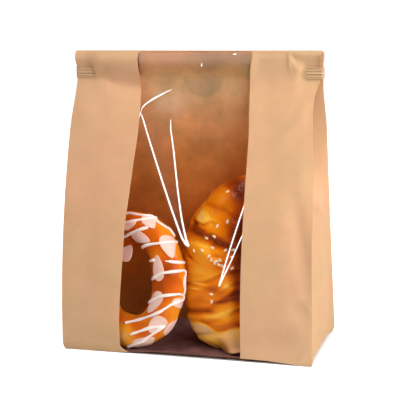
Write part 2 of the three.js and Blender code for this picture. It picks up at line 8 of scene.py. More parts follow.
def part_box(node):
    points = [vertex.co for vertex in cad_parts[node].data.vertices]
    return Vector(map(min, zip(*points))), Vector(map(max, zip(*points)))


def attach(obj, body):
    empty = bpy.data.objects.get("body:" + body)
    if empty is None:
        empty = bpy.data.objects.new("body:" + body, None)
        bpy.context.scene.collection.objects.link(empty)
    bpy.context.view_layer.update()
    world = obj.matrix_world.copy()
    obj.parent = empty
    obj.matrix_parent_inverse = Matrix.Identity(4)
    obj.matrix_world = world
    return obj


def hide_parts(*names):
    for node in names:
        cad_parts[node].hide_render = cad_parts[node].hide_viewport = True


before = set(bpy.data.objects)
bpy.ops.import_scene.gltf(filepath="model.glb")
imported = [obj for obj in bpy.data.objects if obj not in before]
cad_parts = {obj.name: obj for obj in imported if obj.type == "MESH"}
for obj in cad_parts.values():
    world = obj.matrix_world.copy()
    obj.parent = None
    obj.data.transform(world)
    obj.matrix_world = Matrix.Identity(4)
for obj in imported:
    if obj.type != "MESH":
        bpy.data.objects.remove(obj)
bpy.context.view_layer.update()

MM = 0.001

# ---- Camera -------------------------------------------------------------------------------
# Stands a metre away, a little to the right of the window and a little above the middle of
# the bag, and leans by one degree.
CAMERA_TURN = math.radians(16.4)
CAMERA_RISE = math.radians(10.9)
CAMERA_LEAN = math.radians(-0.98)
LOOKED_AT = Vector((0.6, 0, 126)) * MM

towards = Vector((
    math.sin(CAMERA_TURN) * math.cos(CAMERA_RISE),
    -math.cos(CAMERA_TURN) * math.cos(CAMERA_RISE),
    math.sin(CAMERA_RISE),
))
level = Vector((math.cos(CAMERA_TURN), math.sin(CAMERA_TURN), 0))
upward = towards.cross(level)
camera_right = level * math.cos(CAMERA_LEAN) + upward * math.sin(CAMERA_LEAN)
camera_up = upward * math.cos(CAMERA_LEAN) - level * math.sin(CAMERA_LEAN)
bpy.ops.object.camera_add()
camera = bpy.context.object
camera.data.lens = 103.7
camera.data.sensor_width = 36
camera.matrix_world = Matrix.LocRotScale(
    LOOKED_AT + towards,
    Matrix((camera_right, camera_up, towards)).transposed(),
    None,
)
bpy.context.scene.camera = camera
bpy.context.scene.view_settings.view_transform = "Standard"

# ---- Floor and light ----------------------------------------------------------------------
# A white sweep under a dim white sky, broad soft lamps on the right, in front and overhead and
# two weak ones on the left and behind, as in a small light tent.
def made_material(name):
    material = bpy.data.materials.new(name)
    material.use_nodes = True
    material.node_tree.nodes.clear()
    return material


def add_node(material, kind, *feeds, **settings):
    """A shader node. Feeds go into its sockets in turn, settings into the sockets or the
    options of that name. Each is a value, or a node or output to be joined to the socket."""
    tree = material.node_tree
    made = tree.nodes.new("ShaderNode" + kind)
    for key in list(settings):
        if key not in made.inputs:
            setattr(made, key, settings.pop(key))
    for key, value in [*enumerate(feeds), *settings.items()]:
        if isinstance(value, bpy.types.Node):
            tree.links.new(value.outputs[0], made.inputs[key])
        elif isinstance(value, bpy.types.NodeSocket):
            tree.links.new(value, made.inputs[key])
        else:
            made.inputs[key].default_value = value
    return made


tent = bpy.context.scene.world or bpy.data.worlds.new("tent")
bpy.context.scene.world = tent
tent.use_nodes = True
sky = tent.node_tree.nodes["Background"]
sky.inputs["Color"].default_value = (1, 1, 1, 1)

# Seen directly the sky is white. As light it is dim, and dimmest in front.
sky_parts = add_node(tent, "SeparateXYZ", add_node(tent, "TexCoord").outputs["Generated"])
sky_dim = add_node(tent, "MapRange", sky_parts.outputs["Y"], **{
    "From Min": -0.75, "From Max": 0.1, "To Min": 0.08, "To Max": 0.22,
})
sky_ray = add_node(tent, "LightPath").outputs["Is Camera Ray"]
sky_pick = add_node(tent, "Mix", sky_ray, A=sky_dim, B=1.05)
tent.node_tree.links.new(sky_pick.outputs[0], sky.inputs["Strength"])

bpy.ops.object.select_all(action="DESELECT")
bpy.ops.mesh.primitive_plane_add(size=12, location=(0, 0, -0.0003))
floor = bpy.context.object
floor.name = "floor"
# White for the camera, apart from a narrow shadow round the foot of the bag.
white_sweep = made_material("white_sweep")
sweep_place = add_node(white_sweep, "TexCoord").outputs["Object"]
sweep_sides = add_node(white_sweep, "VectorMath", sweep_place, operation="ABSOLUTE")
sweep_parts = add_node(white_sweep, "SeparateXYZ", sweep_sides)
WIDER = 0.057  # how much further out the foot's sides are than its front and back
sweep_deep = add_node(white_sweep, "Math", sweep_parts.outputs["Y"], WIDER, operation="ADD")
sweep_far = add_node(white_sweep, "Math", sweep_parts.outputs["X"], sweep_deep, operation="MAXIMUM")
sweep_clear = add_node(white_sweep, "MapRange", sweep_far, **{
    "From Min": 0.1065, "From Max": 0.113, "To Min": 0.0, "To Max": 0.86,
})
sweep_ray = add_node(white_sweep, "LightPath").outputs["Is Camera Ray"]
sweep_lift = add_node(white_sweep, "Math", sweep_ray, sweep_clear, operation="MULTIPLY")
sweep_skin = add_node(white_sweep, "BsdfPrincipled", **{
    "Base Color": (0.86, 0.86, 0.86, 1), "Roughness": 0.8,
    "Emission Color": (1, 1, 1, 1), "Emission Strength": sweep_lift,
})
add_node(white_sweep, "OutputMaterial", sweep_skin)
floor.data.materials.append(white_sweep)

LIT_PLACE = Vector((0, 0, 0.1))
for name, place, size, power in (
    ("key_lamp", (1.35, -0.35, 0.75), 0.5, 20),
    ("front_lamp", (0.9, -1.1, 0.8), 0.5, 9),
    ("top_lamp", (0, -0.5, 1.55), 0.5, 10.5),
    ("left_lamp", (-0.75, -0.85, 1.25), 0.5, 3),
    ("back_lamp", (-0.1, 1.2, 1.2), 0.8, 7),
):
    bpy.ops.object.light_add(type="AREA", location=place)
    lamp = bpy.context.object
    lamp.name = name
    lamp.data.shape = "SQUARE"
    lamp.data.size = size
    lamp.data.energy = power
    lamp.rotation_euler = (LIT_PLACE - Vector(place)).to_track_quat("-Z", "Y").to_euler()

# ---- Paper tube ---------------------------------------------------------------------------
# One web of brown kraft paper, folded round the sides and the back. It has two strips in
# front beside the window, a pleat in each side and sharp upright corners. The web is a
# rectangular grid that is folded by the bag's own form and given the thickness of paper.
HALF_WIDTH, _, HEIGHT = (round(side / MM, 1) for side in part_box("paper_bag")[1])
PINCH_Z = 229.0  # where the tie presses front and back together
FRONT_TOP_Y = -3.2
BACK_TOP_Y = 2.0
LEFT_RUN = 51.34  # how far the left front corner runs forward from the pinch to the floor
RIGHT_RUN = 41.5
RIGHT_FOOT = 8
BACK_FOOT_Y = 54.62
ROLL_Z = 248.0  # where the fold's rounded front is fullest
ROLL_BULGE = 4.8
TOP_Y = -0.2
LINING_Z = 231  # where the back sheet starts to come forward into the fold
SHEET = 0.3


def ease(low, high, value):
    t = np.clip((np.asarray(value, float) - low) / (high - low), 0, 1)
    return t * t * (3 - 2 * t)


def mix(a, b, t):
    return a + (b - a) * t


def half_width(z):
    foot = 1.5 * np.clip(1 - z / 6, 0, 1) ** 2
    return HALF_WIDTH - foot - 1.8 * ease(190, 226, z) * (1 - 0.4 * ease(242, 250, z))


# Where the fold's overhang ends and the filled front begins: across, height.
VALLEY = [
    (-95, 229.5), (-90, 230.5), (-86, 231.2), (-81, 230.5), (-76, 228), (-67, 225.5), (-50, 223),
    (0, 225), (60, 227), (82, 229),
]


def roll_front(x, z):
    """The fold's rounded front. It hangs over on the left and lies almost flat on the right."""
    valley = np.interp(x, *np.array(VALLEY).T)
    hang = 4.4 * (1 - ease(-48, 30, x)) * (0.15 + 0.85 * ease(-102, -84, x))
    hang = hang - 1.2 * ease(44, 56, x) * (1 - ease(76, 90, x))
    starts = mix(valley, 241.5, np.maximum(ease(-90, -96, x), ease(86, 94, x)))
    t = np.clip((z - starts) / (ROLL_Z - starts), 0, 1)
    below = FRONT_TOP_Y - (1.8 + hang) * (0.5 * t * (2 - t) + 0.5 * ease(0, 1, t))
    over = np.clip((z - ROLL_Z) / (HEIGHT - ROLL_Z), 0, 1)
    y = np.where(z > ROLL_Z, TOP_Y - (ROLL_BULGE + hang) * np.sqrt(1 - over * over), below)
    # The hollow above the right end of the tie, deepest half way down.
    rim = np.interp(x, [82, 83.5, 86.5, 91.5, 95], [250, 246, 242, 239, 238.3])
    inside = ease(81.2, 83.2, x) * (1 - ease(104.5, 108, x)) * ease(rim - 1.0, rim + 1.0, z)
    return y + 2.3 * inside * np.clip(np.minimum((252.8 - z) / 6, (z - rim + 2) / 9), 0, 1)


def smooth_front(x, z):
    """The filled front. It turns in softly below the fold and sharply beside the tie."""
    valley = np.interp(x, *np.array(VALLEY).T)
    soft = mix(mix(1.2, 5.5, ease(-50, 40, x)), 0.8, ease(84, 95, np.abs(x)))
    fall = soft * np.logaddexp(0, (valley - z) / soft)
    h = np.clip(1 - (fall + (PINCH_Z - valley) * ease(0, 30, valley - z)) / PINCH_Z, 0, 1)
    left = -LEFT_RUN * (1 - h * h)
    right = -RIGHT_RUN * (1 - h ** 3) - RIGHT_FOOT * np.exp(-z / 8)
    swell = 4.2 * ease(0, 30, z) * (1 - ease(95, 200, z))
    foot = 2.5 * np.clip(1 - z / 8, 0, 1) ** 2
    y = roll_front(x, z) + mix(left, right, (x + HALF_WIDTH) / (2 * HALF_WIDTH))
    return y - swell * (1 - (x / HALF_WIDTH) ** 2) + foot


# Shallow dents and swells of the strips: across, height, reach across, reach up, degrees
# that the long way is turned, depth in (negative stands out), and how sharp the rim is.
FRONT_DENTS = [
    (-64, 232, 17, 7, -12, 0.6, 1.2),
    (-97, 205, 9, 18, 8, -0.9, 1),
    (-74, 160, 16, 34, 10, -0.8, 1),
    (-88, 86, 9, 40, 4, 0.5, 1),
    (-62, 40, 8, 30, -4, -0.4, 1),
    (80.6, 246, 1.2, 8, 4, -0.7, 1),
    (105.8, 222, 1.2, 8, 4, -0.8, 1),
    (62, 222, 7, 26, 0, 0.5, 1),
    (101.5, 208, 5, 8, -30, 1.0, 1.5),
    (103, 194, 5.5, 8, -38, 0.8, 1.3),
    (84, 190, 30, 5, 48, -0.9, 1),
    (69, 160, 9, 18, 12, 0.7, 1),
    (110, 154, 11, 21, 0, 2.4, 1.4),
    (99, 92, 6.5, 44, 9, 1.5, 1.2),
    (80, 112, 8, 34, 4, -0.6, 1),
    (98, 44, 8, 9, 0, 1.2, 1.2),
    (104, 47, 1.2, 5, 30, -0.5, 1),
    (96, 30, 7, 9, 0, -0.6, 1),
    (101, 9, 1.5, 9, -28, -0.7, 1),
    (74, 20, 16, 9, 0, 0.5, 1),
]


def front_face(x, z):
    y = smooth_front(x, z)
    for across, height, reach_x, reach_z, turned, depth, rim in FRONT_DENTS:
        c, s = math.cos(math.radians(turned)), math.sin(math.radians(turned))
        u = ((x - across) * c + (z - height) * s) / reach_x
        v = ((z - height) * c - (x - across) * s) / reach_z
        y = y + depth * np.exp(-(u * u + v * v) ** rim)
    return y


def foot_lift(x, z):
    """How far the front edge of the foot stands up off the floor between the corners."""
    lift = 2.4 * ease(-72, -22, x) * (1 - ease(62, 106, x))
    return lift * np.clip(1 - z / 26, 0, 1) ** 2


def side_lift(share, z):
    """The same for the foot of a pleated side: share runs from its front to its back."""
    held = (1 - np.exp(-np.clip(share, 0, 1) / 0.035)) * (1 - ease(0.72, 1, share))
    return 5.0 * held * np.clip(1 - z / 34, 0, 1) ** 2


def back_face(x, z):
    h = np.clip(1 - z / PINCH_Z, 0, 1)
    y = BACK_TOP_Y + (BACK_FOOT_Y - BACK_TOP_Y) * h ** 1.12
    return y + 2.5 * ease(0, 40, z) * (1 - ease(110, 200, z)) * (1 - (x / HALF_WIDTH) ** 2)


def lining_depth(z):
    """The back sheet between the pleats: above the tie it comes forward and rolls over."""
    if z < ROLL_Z:
        return BACK_TOP_Y - (BACK_TOP_Y - TOP_Y + ROLL_BULGE - 0.95) * float(ease(LINING_Z, 247.5, z))
    return TOP_Y - (ROLL_BULGE - 0.95) * math.sqrt(max(0, 1 - ((z - ROLL_Z) / 6.5) ** 2))


def pleat_in(z):
    """How far the middle crease of a side's pleat goes in."""
    fold = np.clip((z - 121) / 84, 0, 1)
    return 3 * np.clip(z / 121, 0, 1) * ease(0, 30, z) + 47 * fold * (1.45 - 0.45 * fold ** 2)


def window_left(z):
    foot = 7 * np.clip(1 - z / 8, 0, 1) ** 2
    waves = 0.9 * np.exp(-((z - 186) / 18) ** 2) - 0.8 * np.exp(-((z - 112) / 18) ** 2)
    return -48.2 - 9.5 * (1 - ease(0, 200, z)) + foot + (waves - 1.9 * ease(206, 232, z))


def window_right(z):
    return 48.1 + 2.1 * ease(30, 170, z) - 2.9 * ease(178, 232, z) + 1.9 * ease(236, 252, z)


# Height, and how far the right front corner stands in from the back one there.
CORNER_IN = [
    (0, 0), (8, 2.0), (38, 2.4), (82, 3.1), (117, 2.9), (140, 3.8), (160, 4.6),
    (187, 6.9), (205, 7.4), (217, 6.0), (225, 3.6), (229, 2.0), (255, 1.6),
]


def paper_line(z):
    """The web across one height, from the window's left edge round the back to its right."""
    w = float(half_width(z))
    rolled = float(ease(ROLL_Z, HEIGHT, z))
    low_z = z - 1.6 * rolled
    lining_z = z - 0.55 * rolled
    corner = {-1: w, 1: w - float(np.interp(z, *np.array(CORNER_IN).T))}

    def strip(edge, sign):
        x = mix(edge, sign * corner[sign], np.linspace(0, 1, 44))
        return [(a, float(front_face(a, z)), z + float(foot_lift(a, z))) for a in x]

    def pleat(sign):
        front = float(front_face(sign * corner[sign], low_z)) + 2.2
        back = float(back_face(sign * w, low_z)) - 2.4
        opened = float(ease(0, 14, back - front - 0.4)) if low_z < PINCH_Z else 0
        middle = mix(-0.7, (front + back) / 2, opened)
        crease = w - float(pleat_in(low_z))
        ways = np.linspace(0, 1, 11)
        line = [(mix(corner[sign] - 0.2, crease, t), mix(front, middle - 0.3, t)) for t in ways]
        line += [(mix(crease, w, t), mix(middle + 0.3, back, t)) for t in ways]
        lifts = [float(side_lift((y - front) / (back - front), z)) for x, y in line]
        return [(sign * x, y, low_z + lift) for (x, y), lift in zip(line, lifts)]

    behind = []
    for a in np.linspace(-w, w, 61):
        lined = 1 - float(ease(50, 56, abs(a)))
        lining = float(back_face(a, z)) if z < LINING_Z else lining_depth(lining_z)
        behind.append((a, mix(float(back_face(a, low_z)), lining, lined), mix(low_z, lining_z, lined)))
    left = strip(float(window_left(z)), -1) + pleat(-1)
    right = strip(float(window_right(z)), 1) + pleat(1)
    return left + behind + right[44:][::-1] + right[:44][::-1]


def mesh_points(piece):
    points = np.empty(len(piece.data.vertices) * 3)
    piece.data.vertices.foreach_get("co", points)
    return points.reshape(-1, 3)


def put_points(piece, points):
    piece.data.vertices.foreach_set("co", np.asarray(points, float).ravel())
    piece.data.update()


def sheet_grid(name, rows):
    """A grid primitive whose rows and columns take the given places, in millimetres."""
    rows = np.array(rows, float)
    bpy.ops.object.select_all(action="DESELECT")
    bpy.ops.mesh.primitive_grid_add(
        x_subdivisions=rows.shape[1] - 1, y_subdivisions=rows.shape[0] - 1, size=1,
    )
    piece = bpy.context.object
    piece.name = name
    flat = mesh_points(piece)
    column = np.rint((flat[:, 0] + 0.5) * (rows.shape[1] - 1)).astype(int)
    row = np.rint((flat[:, 1] + 0.5) * (rows.shape[0] - 1)).astype(int)
    put_points(piece, rows[row, column] * MM)
    return piece


def take(*pieces):
    """Selects only these pieces and makes the first of them the active one."""
    bpy.ops.object.select_all(action="DESELECT")
    for piece in pieces:
        piece.select_set(True)
    bpy.context.view_layer.objects.active = pieces[0]


def use_modifier(piece, kind, **settings):
    take(piece)
    modifier = piece.modifiers.new(kind.lower(), kind)
    for key, value in settings.items():
        setattr(modifier, key, value)
    bpy.ops.object.modifier_apply(modifier=modifier.name)


def face_out(piece):
    take(piece)
    bpy.ops.object.mode_set(mode="EDIT")
    bpy.ops.mesh.select_all(action="SELECT")
    bpy.ops.mesh.normals_make_consistent(inside=False)
    bpy.ops.object.mode_set(mode="OBJECT")


def smooth_below(piece, degrees):
    take(piece)
    bpy.ops.object.shade_smooth_by_angle(angle=math.radians(degrees))


def finish_piece(piece, slot, *nodes):
    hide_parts(*nodes)
    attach(piece, "root")


def fill_ramp(node, stops):
    """Gives a new colour ramp these stops in place of its own two."""
    elements = node.color_ramp.elements
    for spot, color in stops:
        elements.new(spot).color = (*color, 1)
    elements.remove(elements[0])
    elements.remove(elements[-1])


# The round thumb tab on the back panel: middle and radius of its arc.
TAB_X = 4.75
TAB_Z = 232.5
TAB_RADIUS = 17.75


# Kraft paper is matt and fibrous and mottles softly, and it lets orange light through. The ramp up
# its height can paint light and shade: the inside is painted bright high up and red-brown and dark
# towards the foot, and it has a painted shadow of the thumb tab in front of the tab.
def kraft_paper(name, tones_and_shade_up, through, glow_share, clouding, scale=42, painted_tab_shadow=1.0):
    material = made_material(name)
    place = add_node(material, "TexCoord").outputs["Object"]
    sides = add_node(material, "SeparateXYZ", place)
    up = add_node(material, "MapRange", sides.outputs["Z"], **{"From Max": HEIGHT * MM})
    tone = add_node(material, "ValToRGB", up)
    fill_ramp(tone, [(height / HEIGHT, color) for height, color in tones_and_shade_up])
    blush = add_node(material, "TexNoise", place, Scale=19, Detail=3, Roughness=0.5)
    pink = add_node(material, "ValToRGB", blush)
    fill_ramp(pink, ((0.35, (0.965, 1.0, 0.95)), (0.65, (1.0, 0.955, 0.985))))
    blushed = add_node(material, "VectorMath", tone, pink, operation="MULTIPLY")
    clouds = add_node(material, "TexNoise", place, Scale=scale, Detail=6, Roughness=0.62)
    tones = add_node(material, "MapRange", clouds, **{
        "From Min": 0.3, "From Max": 0.7, "To Min": 1 - clouding, "To Max": 1 + clouding * 0.6,
    })
    fibres = add_node(material, "TexNoise", place, Scale=1500, Detail=3, Roughness=0.7)
    specks = add_node(material, "MapRange", fibres, **{"To Min": 0.93, "To Max": 1.05})
    # How far each place is from the tab's middle, where all above the middle counts as far, for the tab's
    # painted shadow.
    tab_middle = (-TAB_X * MM, 0, -TAB_Z * MM)
    tab_place = add_node(material, "VectorMath", place, (1, 0, 1), tab_middle, operation="MULTIPLY_ADD")
    tab_above = add_node(material, "VectorMath", tab_place, (-1, -1, 0), operation="MAXIMUM")
    tab_cut = add_node(material, "VectorMath", tab_above, (0, 0, 30), tab_place, operation="MULTIPLY_ADD")
    tab_far = add_node(material, "VectorMath", tab_cut, operation="LENGTH")
    tab_shadow_tone = add_node(material, "MapRange", tab_far.outputs["Value"], **{
        "From Min": (TAB_RADIUS - 0.35) * MM, "From Max": (TAB_RADIUS + 0.15) * MM,
        "To Min": painted_tab_shadow, "To Max": 1.0,
    })
    mottled_and_tab_shaded = add_node(material, "Math", tones, tab_shadow_tone, operation="MULTIPLY")
    shade = add_node(material, "Math", mottled_and_tab_shaded, specks, operation="MULTIPLY")
    tinted = add_node(material, "VectorMath", blushed, operation="SCALE", Scale=shade)
    glowing = add_node(material, "VectorMath", through, operation="SCALE", Scale=shade)
    relief = add_node(material, "Bump", Height=fibres, Strength=0.22, Distance=0.0002)
    skin = add_node(material, "BsdfPrincipled", **{
        "Base Color": tinted, "Normal": relief, "Roughness": 0.86, "Specular IOR Level": 0.12,
    })
    glow = add_node(material, "BsdfTranslucent", glowing)
    add_node(material, "OutputMaterial", add_node(material, "MixShader", glow_share, skin, glow))
    return material


kraft = kraft_paper(
    "kraft_paper", [(1, (0.765, 0.49, 0.272)), (254, (0.765, 0.49, 0.272))],
    through=(0.82, 0.38, 0.11), glow_share=0.34, clouding=0.06,
)
# Its inside's tones are painted light high up and painted shade towards the foot.
kraft_inside = kraft_paper(
    "kraft_inside",
    [(1, (0.12, 0.045, 0.03)), (20, (0.28, 0.05, 0.018)), (70, (0.52, 0.09, 0.02)),
     (125, (0.88, 0.34, 0.085)), (165, (0.90, 0.44, 0.14)), (205, (0.96, 0.64, 0.32)),
     (224, (0.98, 0.76, 0.42)), (238, (0.86, 0.57, 0.25)), (252, (0.62, 0.37, 0.18))],
    through=(0.86, 0.42, 0.12), glow_share=0.55, clouding=0.26, scale=30, painted_tab_shadow=0.9,
)
# The rows of the grid: close together at the foot and round the roll.
heights = [0, 1, 2.2, 3.6, 5.4, 7.6, 10.4, 14]
heights += list(np.linspace(17.5, 226, 92)) + list(np.linspace(228, 246, 13))
heights += [ROLL_Z + 7 * math.sin(a) for a in np.linspace(0, math.pi / 2, 9)]
tube = sheet_grid("paper_tube", [paper_line(z) for z in heights])


def turned_right(piece, place, wanted):
    """Flips the sheet if its face nearest to a place does not look the wanted way."""
    nearest = min(piece.data.polygons, key=lambda face: (face.center - Vector(place) * MM).length)
    if nearest.normal.dot(Vector(wanted)) < 0:
        piece.data.flip_normals()


turned_right(tube, (0, 54, 40), (0, 1, 0))
tube.data.materials.append(kraft)
tube.data.materials.append(kraft_inside)
use_modifier(tube, "SOLIDIFY", thickness=SHEET * MM, offset=-1, material_offset=1)
put_points(tube, np.maximum(mesh_points(tube), (-1, -1, 0)))
smooth_below(tube, 28)
finish_piece(tube, "kraft_paper", "paper_bag")

# ---- Block bottom -------------------------------------------------------------------------
# The lower end of the web, folded in from the sides and then closed by a front and a back
# flap that overlap and are glued, so the bag stands flat.
foot_half = float(half_width(0.0))


def bottom_height(x, y, front, back):
    """Three layers of folded paper, each a sheet lower than the one before."""
    middle = (front + back) / 2
    reach = (back - front) / 2
    to_side = foot_half - np.abs(x)
    slant = to_side - (reach - np.abs(y - middle)) * 0.86
    front_flap = ease(0, 1.2, np.minimum(slant, middle + 11 - y))
    back_flap = ease(0, 1.2, np.minimum(slant, y - middle + 11))
    return 0.62 - 0.3 * front_flap - 0.3 * back_flap


bottom_rows = []
for share in list(np.linspace(0, 0.11, 12)) + list(np.linspace(0.125, 1, 62)):
    row = []
    for x in np.linspace(-1, 1, 141) * (foot_half - 0.2):
        front = float(front_face(x, 0.0)) + 0.2
        back = float(back_face(x, 0.0)) - 0.2
        y = mix(front, back, share)
        lift = float(foot_lift(x, 0.0)) * max(0, 1 - share / 0.09)
        lift += float(side_lift((share - 0.02) / 0.96, 0.0)) * max(0, 1 - (foot_half - abs(x)) / 9)
        row.append((x, y, float(bottom_height(x, y, front, back)) + lift + 0.06))
    bottom_rows.append(row)
bottom = sheet_grid("block_bottom", bottom_rows)
turned_right(bottom, (0, 0, 0), (0, 0, -1))
bottom.data.materials.append(kraft)
# The floor inside is painted dark as shade. The slope behind the front fold is painted dark as the shadow
# under the lifted edge.
for name, tone, clouding in (
    ("kraft_floor_painted_shade", (0.23, 0.105, 0.10), 0.5),
    ("painted_edge_shadow", (0.26, 0.13, 0.08), 0.3),
):
    bottom.data.materials.append(kraft_paper(
        name, [(1, tone), (254, tone)],
        through=(0.3, 0.1, 0.05), glow_share=0.1, clouding=clouding, scale=60,
    ))
use_modifier(bottom, "SOLIDIFY", thickness=SHEET * MM, offset=-1, material_offset=1)
put_points(bottom, np.maximum(mesh_points(bottom), (-1, -1, 0)))
# How far behind the front the underside gets the painted edge shadow.
EDGE_SHADOW_DEEP = 9.5
for face in bottom.data.polygons:
    x, y, _ = face.center / MM
    if face.material_index == 0 and y < float(front_face(x, 0.0)) + EDGE_SHADOW_DEEP:
        face.material_index = 2
smooth_below(bottom, 20)
finish_piece(bottom, "kraft_paper", "paper_bag")

# ---- Folded-down flap and thumb tab -------------------------------------------------------
# The mouth of the bag is folded over once to the back and hangs down there as a flap of plain
# paper. A round thumb tab shows below it, flat on the back panel.
FLAP_HALF = 107.6
FLAP_Z = 231  # its lower edge
flap_profile = []
for a in np.linspace(math.radians(56), math.pi / 2, 7):
    flap_profile.append((TOP_Y - (ROLL_BULGE - 0.38) * math.cos(a), ROLL_Z + 6.62 * math.sin(a)))
for a in np.linspace(math.radians(80), 0, 10):
    flap_profile.append((TOP_Y + 3.75 * math.cos(a), ROLL_Z + 6.9 * math.sin(a)))
for z in np.linspace(246, FLAP_Z, 9):
    flap_profile.append((3.55 - 0.12 * math.sin(z * 0.9), z))
flap_rows = [[(x, y, z) for x in np.linspace(-FLAP_HALF, FLAP_HALF, 61)] for y, z in flap_profile]
flap = sheet_grid("folded_flap", flap_rows)
turned_right(flap, (0, 3.6, 236), (0, 1, 0))
use_modifier(flap, "SOLIDIFY", thickness=SHEET * MM, offset=-1)
smooth_below(flap, 35)
flap.data.materials.append(kraft)
finish_piece(flap, "kraft_paper", "paper_bag")

tab_rows = []
for a in np.linspace(0, 0.49 * math.pi, 22):
    z = TAB_Z - TAB_RADIUS * math.sin(a)
    half = TAB_RADIUS * math.cos(a)
    xs = np.linspace(TAB_X - half, TAB_X + half, 21)
    tab_rows.append([(x, max(float(back_face(x, z)), BACK_TOP_Y) + 0.5, z) for x in xs])
tab = sheet_grid("thumb_tab", tab_rows)
turned_right(tab, (TAB_X, 4, 225), (0, 1, 0))
use_modifier(tab, "SOLIDIFY", thickness=0.4 * MM, offset=-1)
smooth_below(tab, 35)
tab.data.materials.append(kraft)
finish_piece(tab, "kraft_paper", "paper_bag")

# ---- Tin tie ------------------------------------------------------------------------------
# Two flat wires between ribbed paper, laid across the back below the fold. Its ends are bent
# round the bag's edges and pressed flat on the front.
TIE_MIDDLE = 236.4
TIE_TALL = 9.9
TIE_LEFT_END = -91.6  # where its bent ends stop on the front
TIE_RIGHT_END = 94.5
TIE_BEND = 0.6  # radius of the bends round the bag's edges
RIBS = 3.9  # ribs across its height


def tie_path():
    """Places and outward directions along the tie, from the left end to the right end."""
    side = float(half_width(232.0)) + 0.25
    front, behind = FRONT_TOP_Y - 0.25, 3.9
    path = []
    for x in np.linspace(TIE_LEFT_END, -side + 1.0, 16):
        path.append((x, front, 0, -1))
    for x, y, begin in ((-side, front, 270), (-side, behind, 180), (side, behind, 90), (side, front, 0)):
        cx = x + TIE_BEND * (1 if x < 0 else -1)
        cy = y + TIE_BEND * (1 if y < 0 else -1)
        for a in np.radians(np.linspace(begin, begin - 90, 6)):
            nx, ny = math.cos(a), math.sin(a)
            path.append((cx + TIE_BEND * nx, cy + TIE_BEND * ny, nx, ny))
        if begin == 180:
            path += [(across, behind, 0, 1) for across in np.linspace(-side + 3, side - 3, 60)]
    for x in np.linspace(side - 1.0, TIE_RIGHT_END, 16):
        path.append((x, front, 0, -1))
    return path


tie_rows = []
for x, y, nx, ny in tie_path():
    from_end = min(abs(x - TIE_LEFT_END), abs(x - TIE_RIGHT_END)) if ny < -0.5 else 9
    narrow = 1 - 0.32 * (1 - min(1, from_end / 3.2)) ** 2
    row = []
    for c in np.linspace(-0.5, 0.5, 41):
        edge = 1 - ease(0.44, 0.5, abs(c))
        rib = 0.5 + 0.5 * math.cos(2 * math.pi * c * RIBS)
        lift = 0.25 + (0.5 if abs(nx) < 0.05 else 0.2) * rib * float(edge)
        row.append((x + nx * lift, y + ny * lift, TIE_MIDDLE + c * TIE_TALL * narrow))
    tie_rows.append(row)
tie = sheet_grid("tin_tie_strip", tie_rows)
turned_right(tie, (0, 4.5, 235), (0, 1, 0))
use_modifier(tie, "SOLIDIFY", thickness=0.22 * MM, offset=-1)
smooth_below(tie, 40)
RIB_TONE = (0.66, 0.43, 0.25)
HOLLOW_SHADE = (0.40, 0.22, 0.11)
tie_tones = [(1, RIB_TONE)]
# The hollows between the ribs get painted shade.
for hollow in (-0.385, -0.128, 0.128, 0.385):  # the hollows between the ribs are darker
    for off, tone in ((-0.8, RIB_TONE), (0, HOLLOW_SHADE), (0.8, RIB_TONE)):
        tie_tones.append((TIE_MIDDLE + hollow * TIE_TALL + off, tone))
tie.data.materials.append(kraft_paper(
    "tie_paper", tie_tones, through=(0.6, 0.35, 0.16), glow_share=0.2, clouding=0.04,
))
finish_piece(tie, "tie_paper", "tin_tie")

# ---- Window film --------------------------------------------------------------------------
# Clear stiff film glued behind the two strips. Where it was folded it keeps sharp creases,
# with painted highlights along them as thin white lines that glow a little.
FILM_CREASES = [
    # strength of the painted highlight, then places across and up with the half width of the white line
    # there
    (1.0, [(-46.5, 202, 0.10), (-44, 198, 0.34), (-34.5, 176.7, 0.46), (-22, 148, 0.50),
           (-9, 118.7, 0.52), (-1.8, 102.3, 0.58), (1.5, 97.6, 0.70), (3.6, 96.4, 0.80)]),
    (0.97, [(-19.4, 199, 0.08), (-18.4, 190, 0.30), (-14.0, 172, 0.44), (-8.2, 143, 0.48),
            (-2.8, 118, 0.52), (1.8, 101, 0.60), (3.6, 96.8, 0.80)]),
    (0.97, [(50.6, 132.7, 0.34), (43.4, 108.6, 0.42), (36.4, 85.3, 0.40), (30.6, 64.2, 0.50)]),
    (0.92, [(50.4, 108.9, 0.28), (40.6, 85.6, 0.36), (30.6, 64.0, 0.50)]),
    (1.0, [(-46.4, 206.5, 0.16), (-44.0, 209.6, 0.32), (-38, 213.8, 0.54), (-31.5, 217.4, 0.46),
           (-26, 220.2, 0.16), (-22, 221.8, 0.05)]),
    (0.55, [(-46.2, 206.5, 0.2), (-47.6, 200.5, 0.3), (-48.2, 195, 0.1)]),
    # Two short painted glints near the fold's top.
    (0.8, [(5.9, 245.0, 0.06), (5.7, 243.2, 0.28), (5.4, 241.2, 0.06)]),
    (0.9, [(33.0, 252.0, 0.15), (34.4, 252.4, 0.3), (35.6, 252.2, 0.15)]),
]


def crease_field(x, z):
    """How near each point is to a crease: the painted highlight's whiteness and height of the fold."""
    white = np.zeros_like(x)
    lift = np.zeros_like(x)
    for strength, places in FILM_CREASES:
        for (x0, z0, wide0), (x1, z1, wide1) in zip(places, places[1:]):
            step_x, step_z = x1 - x0, z1 - z0
            t = np.clip(((x - x0) * step_x + (z - z0) * step_z) / (step_x ** 2 + step_z ** 2), 0, 1)
            off = np.hypot(x - x0 - t * step_x, z - z0 - t * step_z)
            width = mix(wide0, wide1, t)
            white = np.maximum(white, strength * np.exp(-(off / (width + 0.06)) ** 4))
            lift = np.maximum(lift, 0.8 * width * np.clip(1 - off / 2.4, 0, 1))
    return white, lift


def film_depth(x, z):
    wave = 0.35 * np.sin(x * 0.11 + z * 0.035) + 0.25 * np.sin(z * 0.06 - x * 0.05 + 1)
    inside = np.clip(np.minimum(x - window_left(z), window_right(z) - x) / 12, 0, 1)
    return front_face(x, z) + 0.42 - wave * inside * (1 - ease(215, 235, z)) * ease(0, 20, z)


